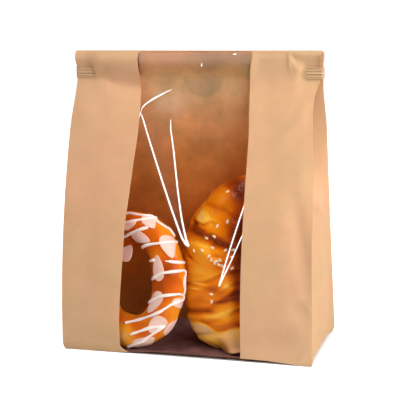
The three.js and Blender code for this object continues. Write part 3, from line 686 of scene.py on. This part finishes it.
film_rows = []
for z in list(np.linspace(0.6, 246, 118)) + [247.2, 248.4, 249.6, 250.7, 251.7, 252.6, 253.3]:
    left = float(window_left(z)) - 6
    right = float(window_right(z)) + 6
    film_rows.append([(x, 0, z) for x in np.linspace(left, right, 54)])
film = sheet_grid("window_film_sheet", film_rows)
# Finer faces along the creases.
bpy.ops.object.mode_set(mode="EDIT")
bpy.ops.mesh.select_mode(type="FACE")
bpy.ops.mesh.select_all(action="DESELECT")
bpy.ops.object.mode_set(mode="OBJECT")
middles = np.array([face.center for face in film.data.polygons]) / MM
film.data.polygons.foreach_set("select", crease_field(middles[:, 0], middles[:, 2])[1] > 0.0)
bpy.ops.object.mode_set(mode="EDIT")
bpy.ops.mesh.subdivide(number_cuts=4)
bpy.ops.object.mode_set(mode="OBJECT")
spots = mesh_points(film) / MM
painted_highlight, lift = crease_field(spots[:, 0], spots[:, 2])
spots[:, 1] = film_depth(spots[:, 0], spots[:, 2]) - lift
# Soft painted reflection haze: a patch near the top, along the long fold and over the fold's top.
across, up = spots[:, 0], spots[:, 2]
painted_haze = 0.02 * np.exp(-((across + 22) / 13) ** 4 - ((up - 211) / 10) ** 4)
up_fold = (up - 95) / 110
off_fold = (across - mix(2.0, -38.0, up_fold)) / mix(2.0, 13.0, np.clip(up_fold, 0, 1))
painted_haze += 0.006 * np.exp(-off_fold ** 4) * ease(90, 110, up) * (1 - ease(190, 205, up))
painted_haze += 0.03 * ease(238, 250, up)


def mark_points(piece, name, values):
    """Keeps a number at each point of a piece for its material to read."""
    piece.data.attributes.new(name, "FLOAT", "POINT").data.foreach_set("value", values)


mark_points(film, "crease", np.clip(painted_highlight + painted_haze, 0, 1))
spots[:, 2] += foot_lift(across, up)
put_points(film, spots * MM)
turned_right(film, (0, -40, 100), (0, -1, 0))
use_modifier(film, "SOLIDIFY", thickness=0.05 * MM, offset=-1)
smooth_below(film, 40)

clear_film = made_material("clear_film")
see_through = add_node(clear_film, "BsdfTransparent", (0.985, 0.98, 0.975, 1))
gloss = add_node(clear_film, "BsdfGlossy", Roughness=0.07)
sheen = add_node(clear_film, "Fresnel", IOR=1.09)
THIN_SHEEN = 0.2  # a thin film never turns into a full mirror
held = add_node(clear_film, "Math", sheen, THIN_SHEEN, operation="MINIMUM")
surface = add_node(clear_film, "MixShader", held, see_through, gloss)
# Where the crease number is high the film turns into a white, faintly glowing surface: painted highlights
# and painted reflection haze.
painted_highlight_share = add_node(clear_film, "Attribute", attribute_name="crease").outputs["Fac"]
painted_fold_highlight = add_node(clear_film, "BsdfPrincipled", **{
    "Base Color": (0.97, 0.96, 0.95, 1), "Roughness": 0.3,
    "Emission Color": (1, 0.98, 0.95, 1), "Emission Strength": 0.35,
})
add_node(clear_film, "OutputMaterial", add_node(clear_film, "MixShader", painted_highlight_share, surface, painted_fold_highlight))
film.data.materials.append(clear_film)
finish_piece(film, "clear_film", "window_film")

# ---- Ring bread ---------------------------------------------------------------------------
# A baked dough ring under a thin glaze. It stands on its edge, leans back and is turned a
# little to the left. The torus is pulled into the uneven oval of hand-shaped dough.
RING_CENTRE = np.array((-53.5, -27.0, 59.2))
RING_YAW = math.radians(10)
RING_LEAN = math.radians(11)
RING_ACROSS = np.array((math.cos(RING_YAW), -math.sin(RING_YAW), 0))
RING_BACK = np.array((math.sin(RING_YAW), math.cos(RING_YAW), 0))
RING_UP = np.array((0, 0, math.cos(RING_LEAN))) + RING_BACK * math.sin(RING_LEAN)
RING_FRONT = np.array((0, 0, math.sin(RING_LEAN))) - RING_BACK * math.cos(RING_LEAN)
HALF_ACROSS = 35.6
HALF_UP = 45.0
DOUGH = 14.2
DOUGH_DEEP = 12.6
FLOOR_TOP = 1.15  # top of the bag's bottom, on which both breads stand


def from_ring(across, up, forward):
    """The ring's own directions turned into places in the bag."""
    turned = np.multiply.outer(across, RING_ACROSS) + np.multiply.outer(up, RING_UP)
    return RING_CENTRE + turned + np.multiply.outer(forward, RING_FRONT)


def ring_full(angle):
    return 1 + 0.055 * np.exp(-((angle + 0.8) / 0.45) ** 2)


def ring_place(angle, around, lift=0.0):
    """Points on the dough, or a little above it, for arrays of angles."""
    full = ring_full(angle)
    out_x, out_y = HALF_UP * np.cos(angle), HALF_ACROSS * np.sin(angle)
    size = np.hypot(out_x, out_y)
    lump = 1 + 0.035 * np.sin(3 * angle + 1.1) + 0.02 * np.sin(7 * angle + 0.4)
    wide = DOUGH * lump + lift
    inner = 9.5 * np.exp(-((angle - 1.95) / 0.55) ** 2) * np.clip(-np.cos(around), 0, 1)
    wide = wide + inner * np.clip(0.25 - np.sin(around), 0, 1)
    deep = DOUGH_DEEP * (1 + 0.03 * np.sin(5 * angle + 2)) * np.where(np.sin(around) < 0, 0.86, 1) + lift
    a = HALF_ACROSS * full * np.cos(angle) + out_x / size * wide * np.cos(around)
    b = HALF_UP * full * np.sin(angle) + out_y / size * wide * np.cos(around)
    c = deep * np.sin(around)
    return from_ring(a, b, c)


def ring_over(across, up):
    """Angles of the place on the front of the dough over a point of the ring's plane."""
    angle = np.arctan2(up / HALF_UP, across / HALF_ACROSS)
    middle = ring_full(angle) * np.hypot(HALF_ACROSS * np.cos(angle), HALF_UP * np.sin(angle))
    off = (np.hypot(across, up) - middle) / DOUGH
    around = np.arccos(np.clip(off, -1, 1)) + np.maximum(0, -0.9 - off) - np.maximum(0, off - 0.9)
    return angle, around


bpy.ops.object.select_all(action="DESELECT")
bpy.ops.mesh.primitive_torus_add(
    major_segments=180, minor_segments=64, major_radius=40 * MM, minor_radius=14 * MM,
)
dough = bpy.context.object
dough.name = "ring_dough"
start = mesh_points(dough) / MM
angle = np.arctan2(start[:, 1], start[:, 0])
around = np.arctan2(start[:, 2], np.hypot(start[:, 0], start[:, 1]) - 40)
bubbles = np.array([noise.fractal(Vector(p) * 0.12, 1.0, 2.0, 4) for p in start])
shaped = ring_place(angle, around, 0.45 * bubbles)
shaped[:, 2] = np.maximum(shaped[:, 2], FLOOR_TOP + 0.02 * bubbles)
put_points(dough, shaped * MM)
face_out(dough)
smooth_below(dough, 60)


# Baked crust, from pale over golden to red-brown where the glaze baked. Where a piece carries a
# bake at each point, which also holds painted light and shade, the tone follows it.
def baked_crust(name, stops, scale, roughness, baked=False):
    material = made_material(name)
    place = add_node(material, "TexCoord").outputs["Object"]
    patches = add_node(material, "TexNoise", place, Scale=scale, Detail=5, Roughness=0.55, Distortion=0.4)
    if baked:
        vary = add_node(material, "Math", patches, 0.7, -0.35, operation="MULTIPLY_ADD")
        bake_and_shade_here = add_node(material, "Attribute", attribute_name="bake_and_shade").outputs["Fac"]
        patches = add_node(material, "Math", vary, bake_and_shade_here, operation="ADD")
    tones = add_node(material, "ValToRGB", patches)
    fill_ramp(tones, stops)
    pores = add_node(material, "TexNoise", place, Scale=scale * 14, Detail=4, Roughness=0.6)
    relief = add_node(material, "Bump", Height=pores, Strength=0.25, Distance=0.0006)
    skin = add_node(material, "BsdfPrincipled", **{
        "Base Color": tones, "Normal": relief, "Roughness": roughness, "Specular IOR Level": 0.05,
        "Coat Weight": 0.10, "Coat Roughness": 0.10, "Subsurface Weight": 0.06,
        "Subsurface Radius": (0.006, 0.002, 0.001), "Subsurface Scale": 1.0,
    })
    add_node(material, "OutputMaterial", skin)
    return material


flank = np.abs(np.cos(around))
bake_and_shade = 0.60 - 0.16 * flank ** 3 + 0.08 * np.sin(3 * angle + 0.7) * (1 - flank)
# Golden and dark places of the crust: across, up, reach and change of the bake.
RING_TONES = [
    (28, 22, 8, -0.24), (7, 27, 11, 0.26), (0, -46, 10, -0.38), (20, -30, 9, -0.06), (34, -8, 9, 0.06),
]
over_a = HALF_ACROSS * np.cos(angle) + DOUGH * np.cos(angle) * np.cos(around)
over_b = HALF_UP * np.sin(angle) + DOUGH * np.sin(angle) * np.cos(around)
for across, up, reach, change in RING_TONES:
    near = np.exp(-((over_a - across) ** 2 + (over_b - up) ** 2) / reach ** 2)
    bake_and_shade += change * near * (np.sin(around) > -0.3)
# Painted shade on the inner wall of the hole, towards the back.
bake_and_shade += 0.16 * np.clip(-np.cos(around), 0, 1) * np.clip(0.2 - np.sin(around), 0, 1)
mark_points(dough, "bake_and_shade", bake_and_shade)
dough.data.materials.append(baked_crust(
    "ring_crust",
    ((0.14, (0.80, 0.46, 0.17)), (0.36, (0.86, 0.34, 0.014)), (0.56, (0.66, 0.12, 0.004)),
     (0.74, (0.36, 0.05, 0.003)), (0.92, (0.15, 0.02, 0.003))),
    26, 0.42, baked=True,
))
finish_piece(dough, "glazed_bread", "ring_bread")

# ---- Almond flakes on the ring ------------------------------------------------------------
# Thin slices of blanched almond, round at one end and pointed at the other, stuck in the
# glaze so that each bends with the dough. One slice is modelled and copied.
FLAKES = [
    # across, up, spin in degrees, length, width
    (15.4, 52, -39, 16, 8), (11.6, 37, -15, 20, 10), (35.3, 33, -59, 22, 8.5),
    (30.7, 12.5, 101, 22, 10), (29.5, -16, -121, 21, 10.5), (31, -36.4, -128, 18, 11.5),
    (-0.5, 47.4, 24, 13, 8), (17, -53, 24, 22, 8), (40, -41.5, -133, 21, 8),
    (49, -19, -69, 14, 8), (-22, 42, 40, 17, 9), (-38, 20, 80, 19, 10),
    (-33, -8, 110, 17, 9), (-40, -27, 60, 18, 9), (-20, -46, 10, 18, 9), (-4, 22.5, 60, 16, 12),
]
bpy.ops.object.select_all(action="DESELECT")
bpy.ops.mesh.primitive_circle_add(vertices=28, radius=1, fill_type="NGON")
slice_piece = bpy.context.object
bpy.ops.object.mode_set(mode="EDIT")
bpy.ops.mesh.select_mode(type="FACE")
bpy.ops.mesh.select_all(action="SELECT")
for depth in (0.12, 0.25, 0.3):
    bpy.ops.mesh.inset(thickness=depth, depth=0)
bpy.ops.mesh.poke()
bpy.ops.object.mode_set(mode="OBJECT")
flake_shape = mesh_points(slice_piece)


def copy_of(piece):
    one = piece.copy()
    one.data = piece.data.copy()
    bpy.context.collection.objects.link(one)
    return one


def joined(pieces, name):
    take(*pieces)
    bpy.ops.object.join()
    bpy.context.object.name = name
    return bpy.context.object


slices = []
for number, (across, up, spin, length, width) in enumerate(FLAKES):
    one = copy_of(slice_piece)
    x = flake_shape[:, 0] * length / 2
    y = flake_shape[:, 1] * width / 2 * (1 - 0.35 * flake_shape[:, 0])
    turn = math.radians(spin)
    over_x = across + x * math.cos(turn) - y * math.sin(turn)
    over_y = up + x * math.sin(turn) + y * math.cos(turn)
    rim = np.hypot(flake_shape[:, 0], flake_shape[:, 1])
    wave = 0.25 * np.sin(3 * x / length * 2 + number) * rim
    places_angle, places_around = ring_over(over_x, over_y)
    on_dough = ring_place(places_angle, places_around, 0.75 + wave)
    if number == len(FLAKES) - 1:  # the last one hangs over the rim of the hole
        on_dough = from_ring(over_x, over_y, 7.5 + wave)
    put_points(one, on_dough * MM)
    slices.append(one)
bpy.data.objects.remove(slice_piece)
flakes = joined(slices, "almond_flakes")
turned_right(flakes, (-30, -45, 40), tuple(RING_FRONT))
use_modifier(flakes, "SOLIDIFY", thickness=0.9 * MM, offset=-1)
use_modifier(flakes, "BEVEL", width=0.25 * MM, segments=2, limit_method="ANGLE")
smooth_below(flakes, 40)
flakes.data.materials.append(baked_crust(
    "almond", ((0.25, (0.88, 0.60, 0.52)), (0.55, (0.84, 0.54, 0.45)), (0.85, (0.72, 0.41, 0.29))),
    60, 0.45,
))
finish_piece(flakes, "glazed_bread", "ring_bread")

# ---- Icing on the ring --------------------------------------------------------------------
# Sugar icing piped to and fro over the ring in thin beads that run together where they meet.
ICING_PASSES = [
    [(-24, 50), (-4, 57), (14, 56.4), (36, 44)],
    [(-34, 38), (-8, 47.5), (17, 55.5)],
    [(-18, 31), (17, 47)],
    [(6, 24), (21, 31.6), (38.5, 38.5)],
    [(17.5, 14), (27, 18.5)],
    [(36, 20), (47.5, 20.6)],
    [(22.5, 1), (35, 9), (49, 13.6), (50.2, -9)],
    [(21.2, -16.4), (34, -10.8), (48.5, -8.6), (51, -13), (35, -24.4), (1.5, -37.8)],
    [(8, -46.4), (27, -38.4), (37, -37.5), (17.5, -52), (2, -58)],
    [(-43, 26), (-27, 32)],
    [(-48, 8), (-22, 16)],
    [(-49, -8), (-22, 0)],
    [(-46, -27), (-20, -17)],
    [(-34, -46), (-9, -36)],
]
BEAD_RADIUS = 1.4
beads = []
for places in ICING_PASSES:
    ends = np.array(places, float)
    run = np.concatenate([[0], np.cumsum(np.hypot(*np.diff(ends, axis=0).T))])
    steps = np.linspace(0, run[-1], max(8, int(run[-1] / 1.6)))
    across = np.interp(steps, run, ends[:, 0])
    up = np.interp(steps, run, ends[:, 1])
    places_angle, places_around = ring_over(across, up)
    line = ring_place(places_angle, places_around, 0.35)
    thread = bpy.data.curves.new("bead", "CURVE")
    thread.dimensions = "3D"
    thread.bevel_depth = BEAD_RADIUS * MM
    thread.bevel_resolution = 4
    thread.use_fill_caps = True
    spline = thread.splines.new("POLY")
    spline.points.add(len(line) - 1)
    for k, point in enumerate(line):
        spline.points[k].co = (*(point * MM), 1)
        thick = 0.96 if k > 1 else 0.66
        spline.points[k].radius = thick + 0.16 * math.sin(steps[k] * 0.35 + len(beads))
    bead = bpy.data.objects.new("bead", thread)
    bpy.context.collection.objects.link(bead)
    take(bead)
    bpy.ops.object.convert(target="MESH")
    beads.append(bpy.context.object)
icing = joined(beads, "icing")
use_modifier(icing, "REMESH", mode="VOXEL", voxel_size=0.55 * MM)
use_modifier(icing, "SMOOTH", factor=0.6, iterations=4)
smooth_below(icing, 70)
sugar = made_material("icing")
sugar_place = add_node(sugar, "TexCoord").outputs["Object"]
sugar_grain = add_node(sugar, "TexNoise", sugar_place, Scale=420, Detail=3)
sugar_relief = add_node(sugar, "Bump", Height=sugar_grain, Strength=0.12, Distance=0.0003)
sugar_skin = add_node(sugar, "BsdfPrincipled", **{
    "Base Color": (0.94, 0.86, 0.82, 1), "Normal": sugar_relief, "Roughness": 0.35,
    "Subsurface Weight": 0.2, "Subsurface Radius": (0.002, 0.0015, 0.001), "Subsurface Scale": 1.0,
})
add_node(sugar, "OutputMaterial", sugar_skin)
icing.data.materials.append(sugar)
finish_piece(icing, "glazed_bread", "ring_bread")

# ---- Croissant ----------------------------------------------------------------------------
# A curved roll of layered dough that stands on its blunt lower end. Each layer ends in a
# step across the roll, with painted light on the crest above it and painted shade in its groove.
ROLL_STATIONS = np.array([
    # share of the length, x, y, z, radius
    (0, 32, -6, 2, 19), (0.07, 30, -6, 12, 29), (0.2, 24.5, -6, 33, 33.5),
    (0.42, 20.5, -6, 66, 34.5), (0.58, 22, -6, 88, 34), (0.72, 28.5, -5, 108, 30.5),
    (0.84, 37, -4, 126, 24), (0.94, 46, -3, 140, 14), (1, 51.5, -2, 147.5, 7),
])
# Grooves between the layers: where they run (degrees round the roll, share of its length),
# depth, reach below and above, and how far round they are deep.
LAYER_GROOVES = [
    ([(-170, 0.615), (-140, 0.632), (-100, 0.642), (-70, 0.63), (-50, 0.61), (60, 0.60), (140, 0.60)],
     1.6, 0.038, 0.024, (-400, 400)),
    ([(-167, 0.665), (-136, 0.682), (-122, 0.69), (-112, 0.72), (20, 0.74), (120, 0.70)],
     1.9, 0.013, 0.008, (-200, -108)),
    ([(-150, 0.545), (-132, 0.532), (-118, 0.512), (-100, 0.50)], 0.9, 0.012, 0.006, (-160, -108)),
    ([(-140, 0.372), (-113, 0.380), (-101, 0.392), (-87, 0.412), (-73, 0.45), (-40, 0.47), (90, 0.42)],
     1.5, 0.007, 0.024, (-400, 400)),
    ([(-130, 0.345), (-108, 0.352), (-90, 0.36)], 0.9, 0.005, 0.012, (-150, -95)),
    ([(-130, 0.228), (-107, 0.235), (-94, 0.247), (-74, 0.288), (-55, 0.31), (60, 0.30), (160, 0.24)],
     2.1, 0.012, 0.026, (-400, 400)),
    ([(-91, 0.300), (-76, 0.325), (-61, 0.368), (-40, 0.39)], 1.3, 0.008, 0.014, (-88, -20)),
    ([(-120, 0.17), (-91, 0.178), (-79, 0.186), (-60, 0.205)], 1.2, 0.006, 0.012, (-115, -30)),
    ([(-160, 0.12), (-90, 0.115), (0, 0.13), (100, 0.12)], 1.5, 0.02, 0.012, (-400, 400)),
    ([(-150, 0.775), (-100, 0.80), (-60, 0.79), (90, 0.80)], 0.8, 0.02, 0.012, (-400, 400)),
    ([(-150, 0.89), (-60, 0.90), (90, 0.89)], 0.6, 0.018, 0.01, (-400, 400)),
]
# Crests beside them: where they run, height and reach.
LAYER_CRESTS = [
    ([(-164, 0.578), (-126, 0.576), (-98, 0.570), (-82, 0.538), (-70, 0.50), (0, 0.52), (120, 0.56)],
     0.9, 0.016),
    ([(-130, 0.398), (-101, 0.415), (-73, 0.47), (90, 0.44)], 0.7, 0.012),
    ([(-91, 0.205), (-79, 0.213), (-60, 0.232)], 0.5, 0.009),
]


def roll_at(t, column):
    """Smooth value of a station column at shares of the length."""
    shares, values = ROLL_STATIONS[:, 0], ROLL_STATIONS[:, column]
    slopes = np.gradient(values, shares)
    k = np.clip(np.searchsorted(shares, t, side="right") - 1, 0, len(shares) - 2)
    span = shares[k + 1] - shares[k]
    s = (t - shares[k]) / span
    return ((2 * s ** 3 - 3 * s ** 2 + 1) * values[k] + (s ** 3 - 2 * s ** 2 + s) * slopes[k] * span
            + (3 * s ** 2 - 2 * s ** 3) * values[k + 1] + (s ** 3 - s ** 2) * slopes[k + 1] * span)


def line_at(places, angle):
    turned, shares = np.array(places, float).T
    return np.interp(angle, np.radians(turned), shares, period=2 * math.pi)


def layer_relief(t, angle):
    """Depth of the grooves and height of the crests, and how strongly each point is in one, for painted
    shade in the grooves and painted light on the crests.
    """
    degrees = np.degrees((angle + math.pi) % (2 * math.pi)) - 180
    cut = np.zeros_like(t)
    groove_shade = np.zeros_like(t)
    for places, deep, below, above, (start, end) in LAYER_GROOVES:
        off = t - line_at(places, angle)
        held = ease(start - 12, start + 12, degrees) * (1 - ease(end - 12, end + 12, degrees))
        shape = np.where(off < 0, np.exp(-(off / below) ** 2), np.exp(-np.abs(off / above) ** 1.6)) * held
        cut += deep * shape
        inner = np.exp(-((off - 0.35 * above) / (0.5 * (above + 0.012))) ** 2)
        groove_shade = np.maximum(groove_shade, min(1, deep / 2.4) * held * inner)
    crest_light = np.zeros_like(t)
    for places, high, reach in LAYER_CRESTS:
        shape = np.exp(-((t - line_at(places, angle)) / reach) ** 2)
        cut -= high * shape
        crest_light = np.maximum(crest_light, shape)
    return cut, groove_shade, crest_light


FOOT_SKIRT = 21  # how far the foot spreads


def roll_place(t, angle, lift=0.0):
    """Points on the croissant, or a little above it, for arrays of shares and angles."""
    middle = np.stack([roll_at(t, 1), roll_at(t, 2), roll_at(t, 3)], axis=-1)
    low, high = np.maximum(0, t - 0.02), np.minimum(1, t + 0.02)
    along = np.stack([roll_at(high, c) - roll_at(low, c) for c in (1, 2, 3)], axis=-1)
    along /= np.linalg.norm(along, axis=-1, keepdims=True)
    depth = np.array((0.0, 1.0, 0.0)) - along * along[..., 1:2]
    depth /= np.linalg.norm(depth, axis=-1, keepdims=True)
    across = np.cross(depth, along)
    dent = 1 + 0.025 * np.sin(2 * angle + 5 * t) + 0.02 * np.sin(5 * angle + 9 * t)
    ragged = 0.05 * np.sin(9 * angle + 1.5) + 0.035 * np.sin(17 * angle + 40 * t)
    dent = dent + ragged * np.clip(1 - t / 0.10, 0, 1)
    skirt = FOOT_SKIRT * np.exp(-t / 0.06) * np.exp(-((np.degrees(angle) + 52) / 44) ** 4)
    cut = layer_relief(t, angle)[0] * np.clip(t * 9, 0, 1)
    radius = roll_at(t, 4) * dent + skirt - cut + lift
    return (middle + across * (radius * np.cos(angle))[..., None]
            + depth * (0.97 * radius * np.sin(angle))[..., None])


bpy.ops.object.select_all(action="DESELECT")
bpy.ops.mesh.primitive_uv_sphere_add(segments=132, ring_count=220, radius=1)
roll = bpy.context.object
roll.name = "croissant_dough"
start = mesh_points(roll)
polar = np.arccos(np.clip(-start[:, 2], -1, 1)) / math.pi
share = np.clip((polar - 0.035) / 0.93, 0, 1)
angle = np.arctan2(start[:, 1], start[:, 0])
cap = np.clip(np.minimum(polar, 1 - polar) / 0.035, 0, 1)
_, groove_shade, crest_light = layer_relief(share, angle)
# Random crumples, broad wandering strata and the thin flaky layers that follow them.
crumple = np.array([
    noise.fractal(Vector((6 * math.cos(a), 6 * math.sin(a), 22 * s)) * 0.35, 1.0, 2.0, 4)
    for a, s in zip(angle, share)
])
strata = np.array([
    noise.noise(Vector((2.2 * math.cos(a), 2.2 * math.sin(a), 9 * s))) for a, s in zip(angle, share)
])
phase = share * 46 + 2.2 * strata + 0.6 * np.sin(angle + 1)
flaky = np.abs((phase % 1) - 0.25 * (phase % 1 > 0.25)) * np.clip(0.55 + 1.2 * strata, 0, 1)
body = roll_place(share, angle, 0.55 * crumple + 0.55 * flaky)
centre = np.stack([roll_at(share, c) for c in (1, 2, 3)], axis=-1)
body = centre + (body - centre) * np.sqrt(1 - (1 - cap) ** 2)[:, None]
body[:, 2] = np.maximum(body[:, 2], FLOOR_TOP)
body[:, 1] = np.maximum(body[:, 1], film_depth(body[:, 0], body[:, 2]) + 1.2)
put_points(roll, body * MM)
face_out(roll)
smooth_below(roll, 60)
# Painted shade in the grooves and painted light on the crests.
bake_and_shade = 0.48 + 0.26 * groove_shade - 0.10 * crest_light - 0.11 * flaky + 0.10 * strata
# Golden ridges and red-brown glaze, with painted light on lit ridges and painted shade down the
# right side and under the steps: share of the length, degrees round it, reach along and round,
# and change of the bake.
ROLL_TONES_AND_SHADE = [
    (0.720, -133, 0.032, 15, -0.28), (0.735, -112, 0.030, 12, -0.12), (0.80, -118, 0.05, 14, 0.04),
    (0.600, -110, 0.014, 24, -0.18), (0.570, -88, 0.018, 12, -0.10), (0.386, -114, 0.008, 17, -0.30),
    (0.358, -117, 0.007, 13, -0.26), (0.455, -108, 0.030, 18, -0.08), (0.372, -66, 0.026, 9, -0.28),
    (0.205, -76, 0.026, 15, -0.26), (0.25, -66, 0.02, 9, -0.14), (0.670, -141, 0.010, 20, 0.30),
    (0.655, -128, 0.022, 24, 0.26), (0.632, -84, 0.026, 26, 0.30), (0.930, -125, 0.05, 70, 0.36),
    (0.870, -85, 0.08, 22, 0.22), (0.740, -61, 0.10, 19, 0.42), (0.550, -50, 0.12, 17, 0.46),
    (0.300, -48, 0.12, 15, 0.46), (0.366, -88, 0.026, 13, 0.26), (0.286, -74, 0.010, 24, 0.24),
    (0.232, -101, 0.012, 13, 0.34), (0.445, -150, 0.12, 10, 0.12), (0.530, -128, 0.008, 9, 0.20),
    (0.300, -112, 0.02, 16, 0.06), (0.500, -80, 0.025, 14, 0.10), (0.568, -86, 0.010, 10, 0.22),
    (0.530, -79, 0.010, 8, 0.26), (0.665, -93, 0.012, 9, 0.20), (0.235, -88, 0.075, 28, -0.09),
]
turned = np.degrees(angle)
wander = 0.35 * crumple + 0.2 * strata
for along, round_it, reach_t, reach_a, change in ROLL_TONES_AND_SHADE:
    apart = (turned - round_it + 180) % 360 - 180
    strong = 1.3 if change < 0 else 1.0
    bake_and_shade += strong * change * np.exp(-((share - along) / reach_t + wander) ** 2 - (apart / reach_a) ** 2)
bake_and_shade = np.maximum(bake_and_shade, 0.18)
# The pale end that stood on the tray, with a salmon rim above it: degrees round, share.
PALE_TO = [(-180, 0.19), (-128, 0.185), (-112, 0.155), (-96, 0.128), (-60, 0.118), (0, 0.13), (180, 0.19)]
pale_to = np.interp(turned, *np.array(PALE_TO).T)
low_end = 1 - ease(-0.014, 0.014, share + 0.02 * strata - pale_to)
bake_and_shade += 0.14 * np.exp(-((share - pale_to - 0.022) / 0.016) ** 2) * (turned > -118)
bake_and_shade = mix(bake_and_shade, 0.07 + 0.10 * strata + 0.05 * crumple, low_end)
mark_points(roll, "bake_and_shade", bake_and_shade)
roll.data.materials.append(baked_crust(
    "croissant_crust",
    ((0.06, (0.74, 0.40, 0.17)), (0.20, (0.96, 0.50, 0.055)), (0.35, (0.84, 0.30, 0.010)),
     (0.50, (0.74, 0.18, 0.002)), (0.72, (0.40, 0.06, 0.002)), (0.90, (0.19, 0.025, 0.002))),
    22, 0.36, baked=True,
))
finish_piece(roll, "glazed_pastry", "croissant")

# ---- Sesame seeds on the croissant --------------------------------------------------------
# White sesame that stuck in the glaze of the croissant's belly. One seed is modelled and
# copied, each copy with its own mesh.
SEEDS = [
    # share of the length, degrees round the roll
    (0.665, -96), (0.565, -119), (0.58, -106), (0.605, -93), (0.61, -73), (0.56, -94), (0.54, -83),
    (0.55, -78), (0.53, -85), (0.515, -74), (0.335, -91), (0.29, -92), (0.875, -124), (0.765, -86),
    (0.64, -107), (0.625, -62), (0.58, -62), (0.545, -90), (0.522, -79), (0.50, -60), (0.72, -98),
]
SEED_SIZE = (1.9, 1.05, 0.6)  # half its length, width and thickness
draw = np.random.default_rng(20417)
stuck = []
bpy.ops.object.select_all(action="DESELECT")
bpy.ops.mesh.primitive_uv_sphere_add(segments=14, ring_count=9, radius=1)
seed = bpy.context.object
seed_shape = mesh_points(seed)
seed_shape[:, 1] *= 1 - 0.35 * seed_shape[:, 0]
for share_at, degrees_at in SEEDS:
    t = np.array([share_at])
    a = np.array([math.radians(degrees_at)])
    spot = roll_place(t, a)[0]
    ahead = roll_place(t + 0.01, a)[0] - spot
    beside = roll_place(t, a + 0.04)[0] - spot
    normal = np.cross(ahead, beside)
    normal /= np.linalg.norm(normal)
    if normal[1] > 0:
        normal = -normal
    spin = 3.1 * draw.random()
    right = ahead / np.linalg.norm(ahead)
    other = np.cross(normal, right)
    first = right * math.cos(spin) + other * math.sin(spin)
    second = np.cross(normal, first)
    one = copy_of(seed)
    local = seed_shape * np.array(SEED_SIZE)
    put_points(one, (spot + normal * 0.35 + local @ np.array([first, second, normal])) * MM)
    stuck.append(one)
bpy.data.objects.remove(seed)
seeds = joined(stuck, "sesame_seeds")
face_out(seeds)
smooth_below(seeds, 60)
seeds.data.materials.append(baked_crust(
    "sesame", ((0.3, (0.92, 0.74, 0.52)), (0.7, (0.84, 0.6, 0.36))), 90, 0.4,
))
finish_piece(seeds, "glazed_pastry", "croissant")
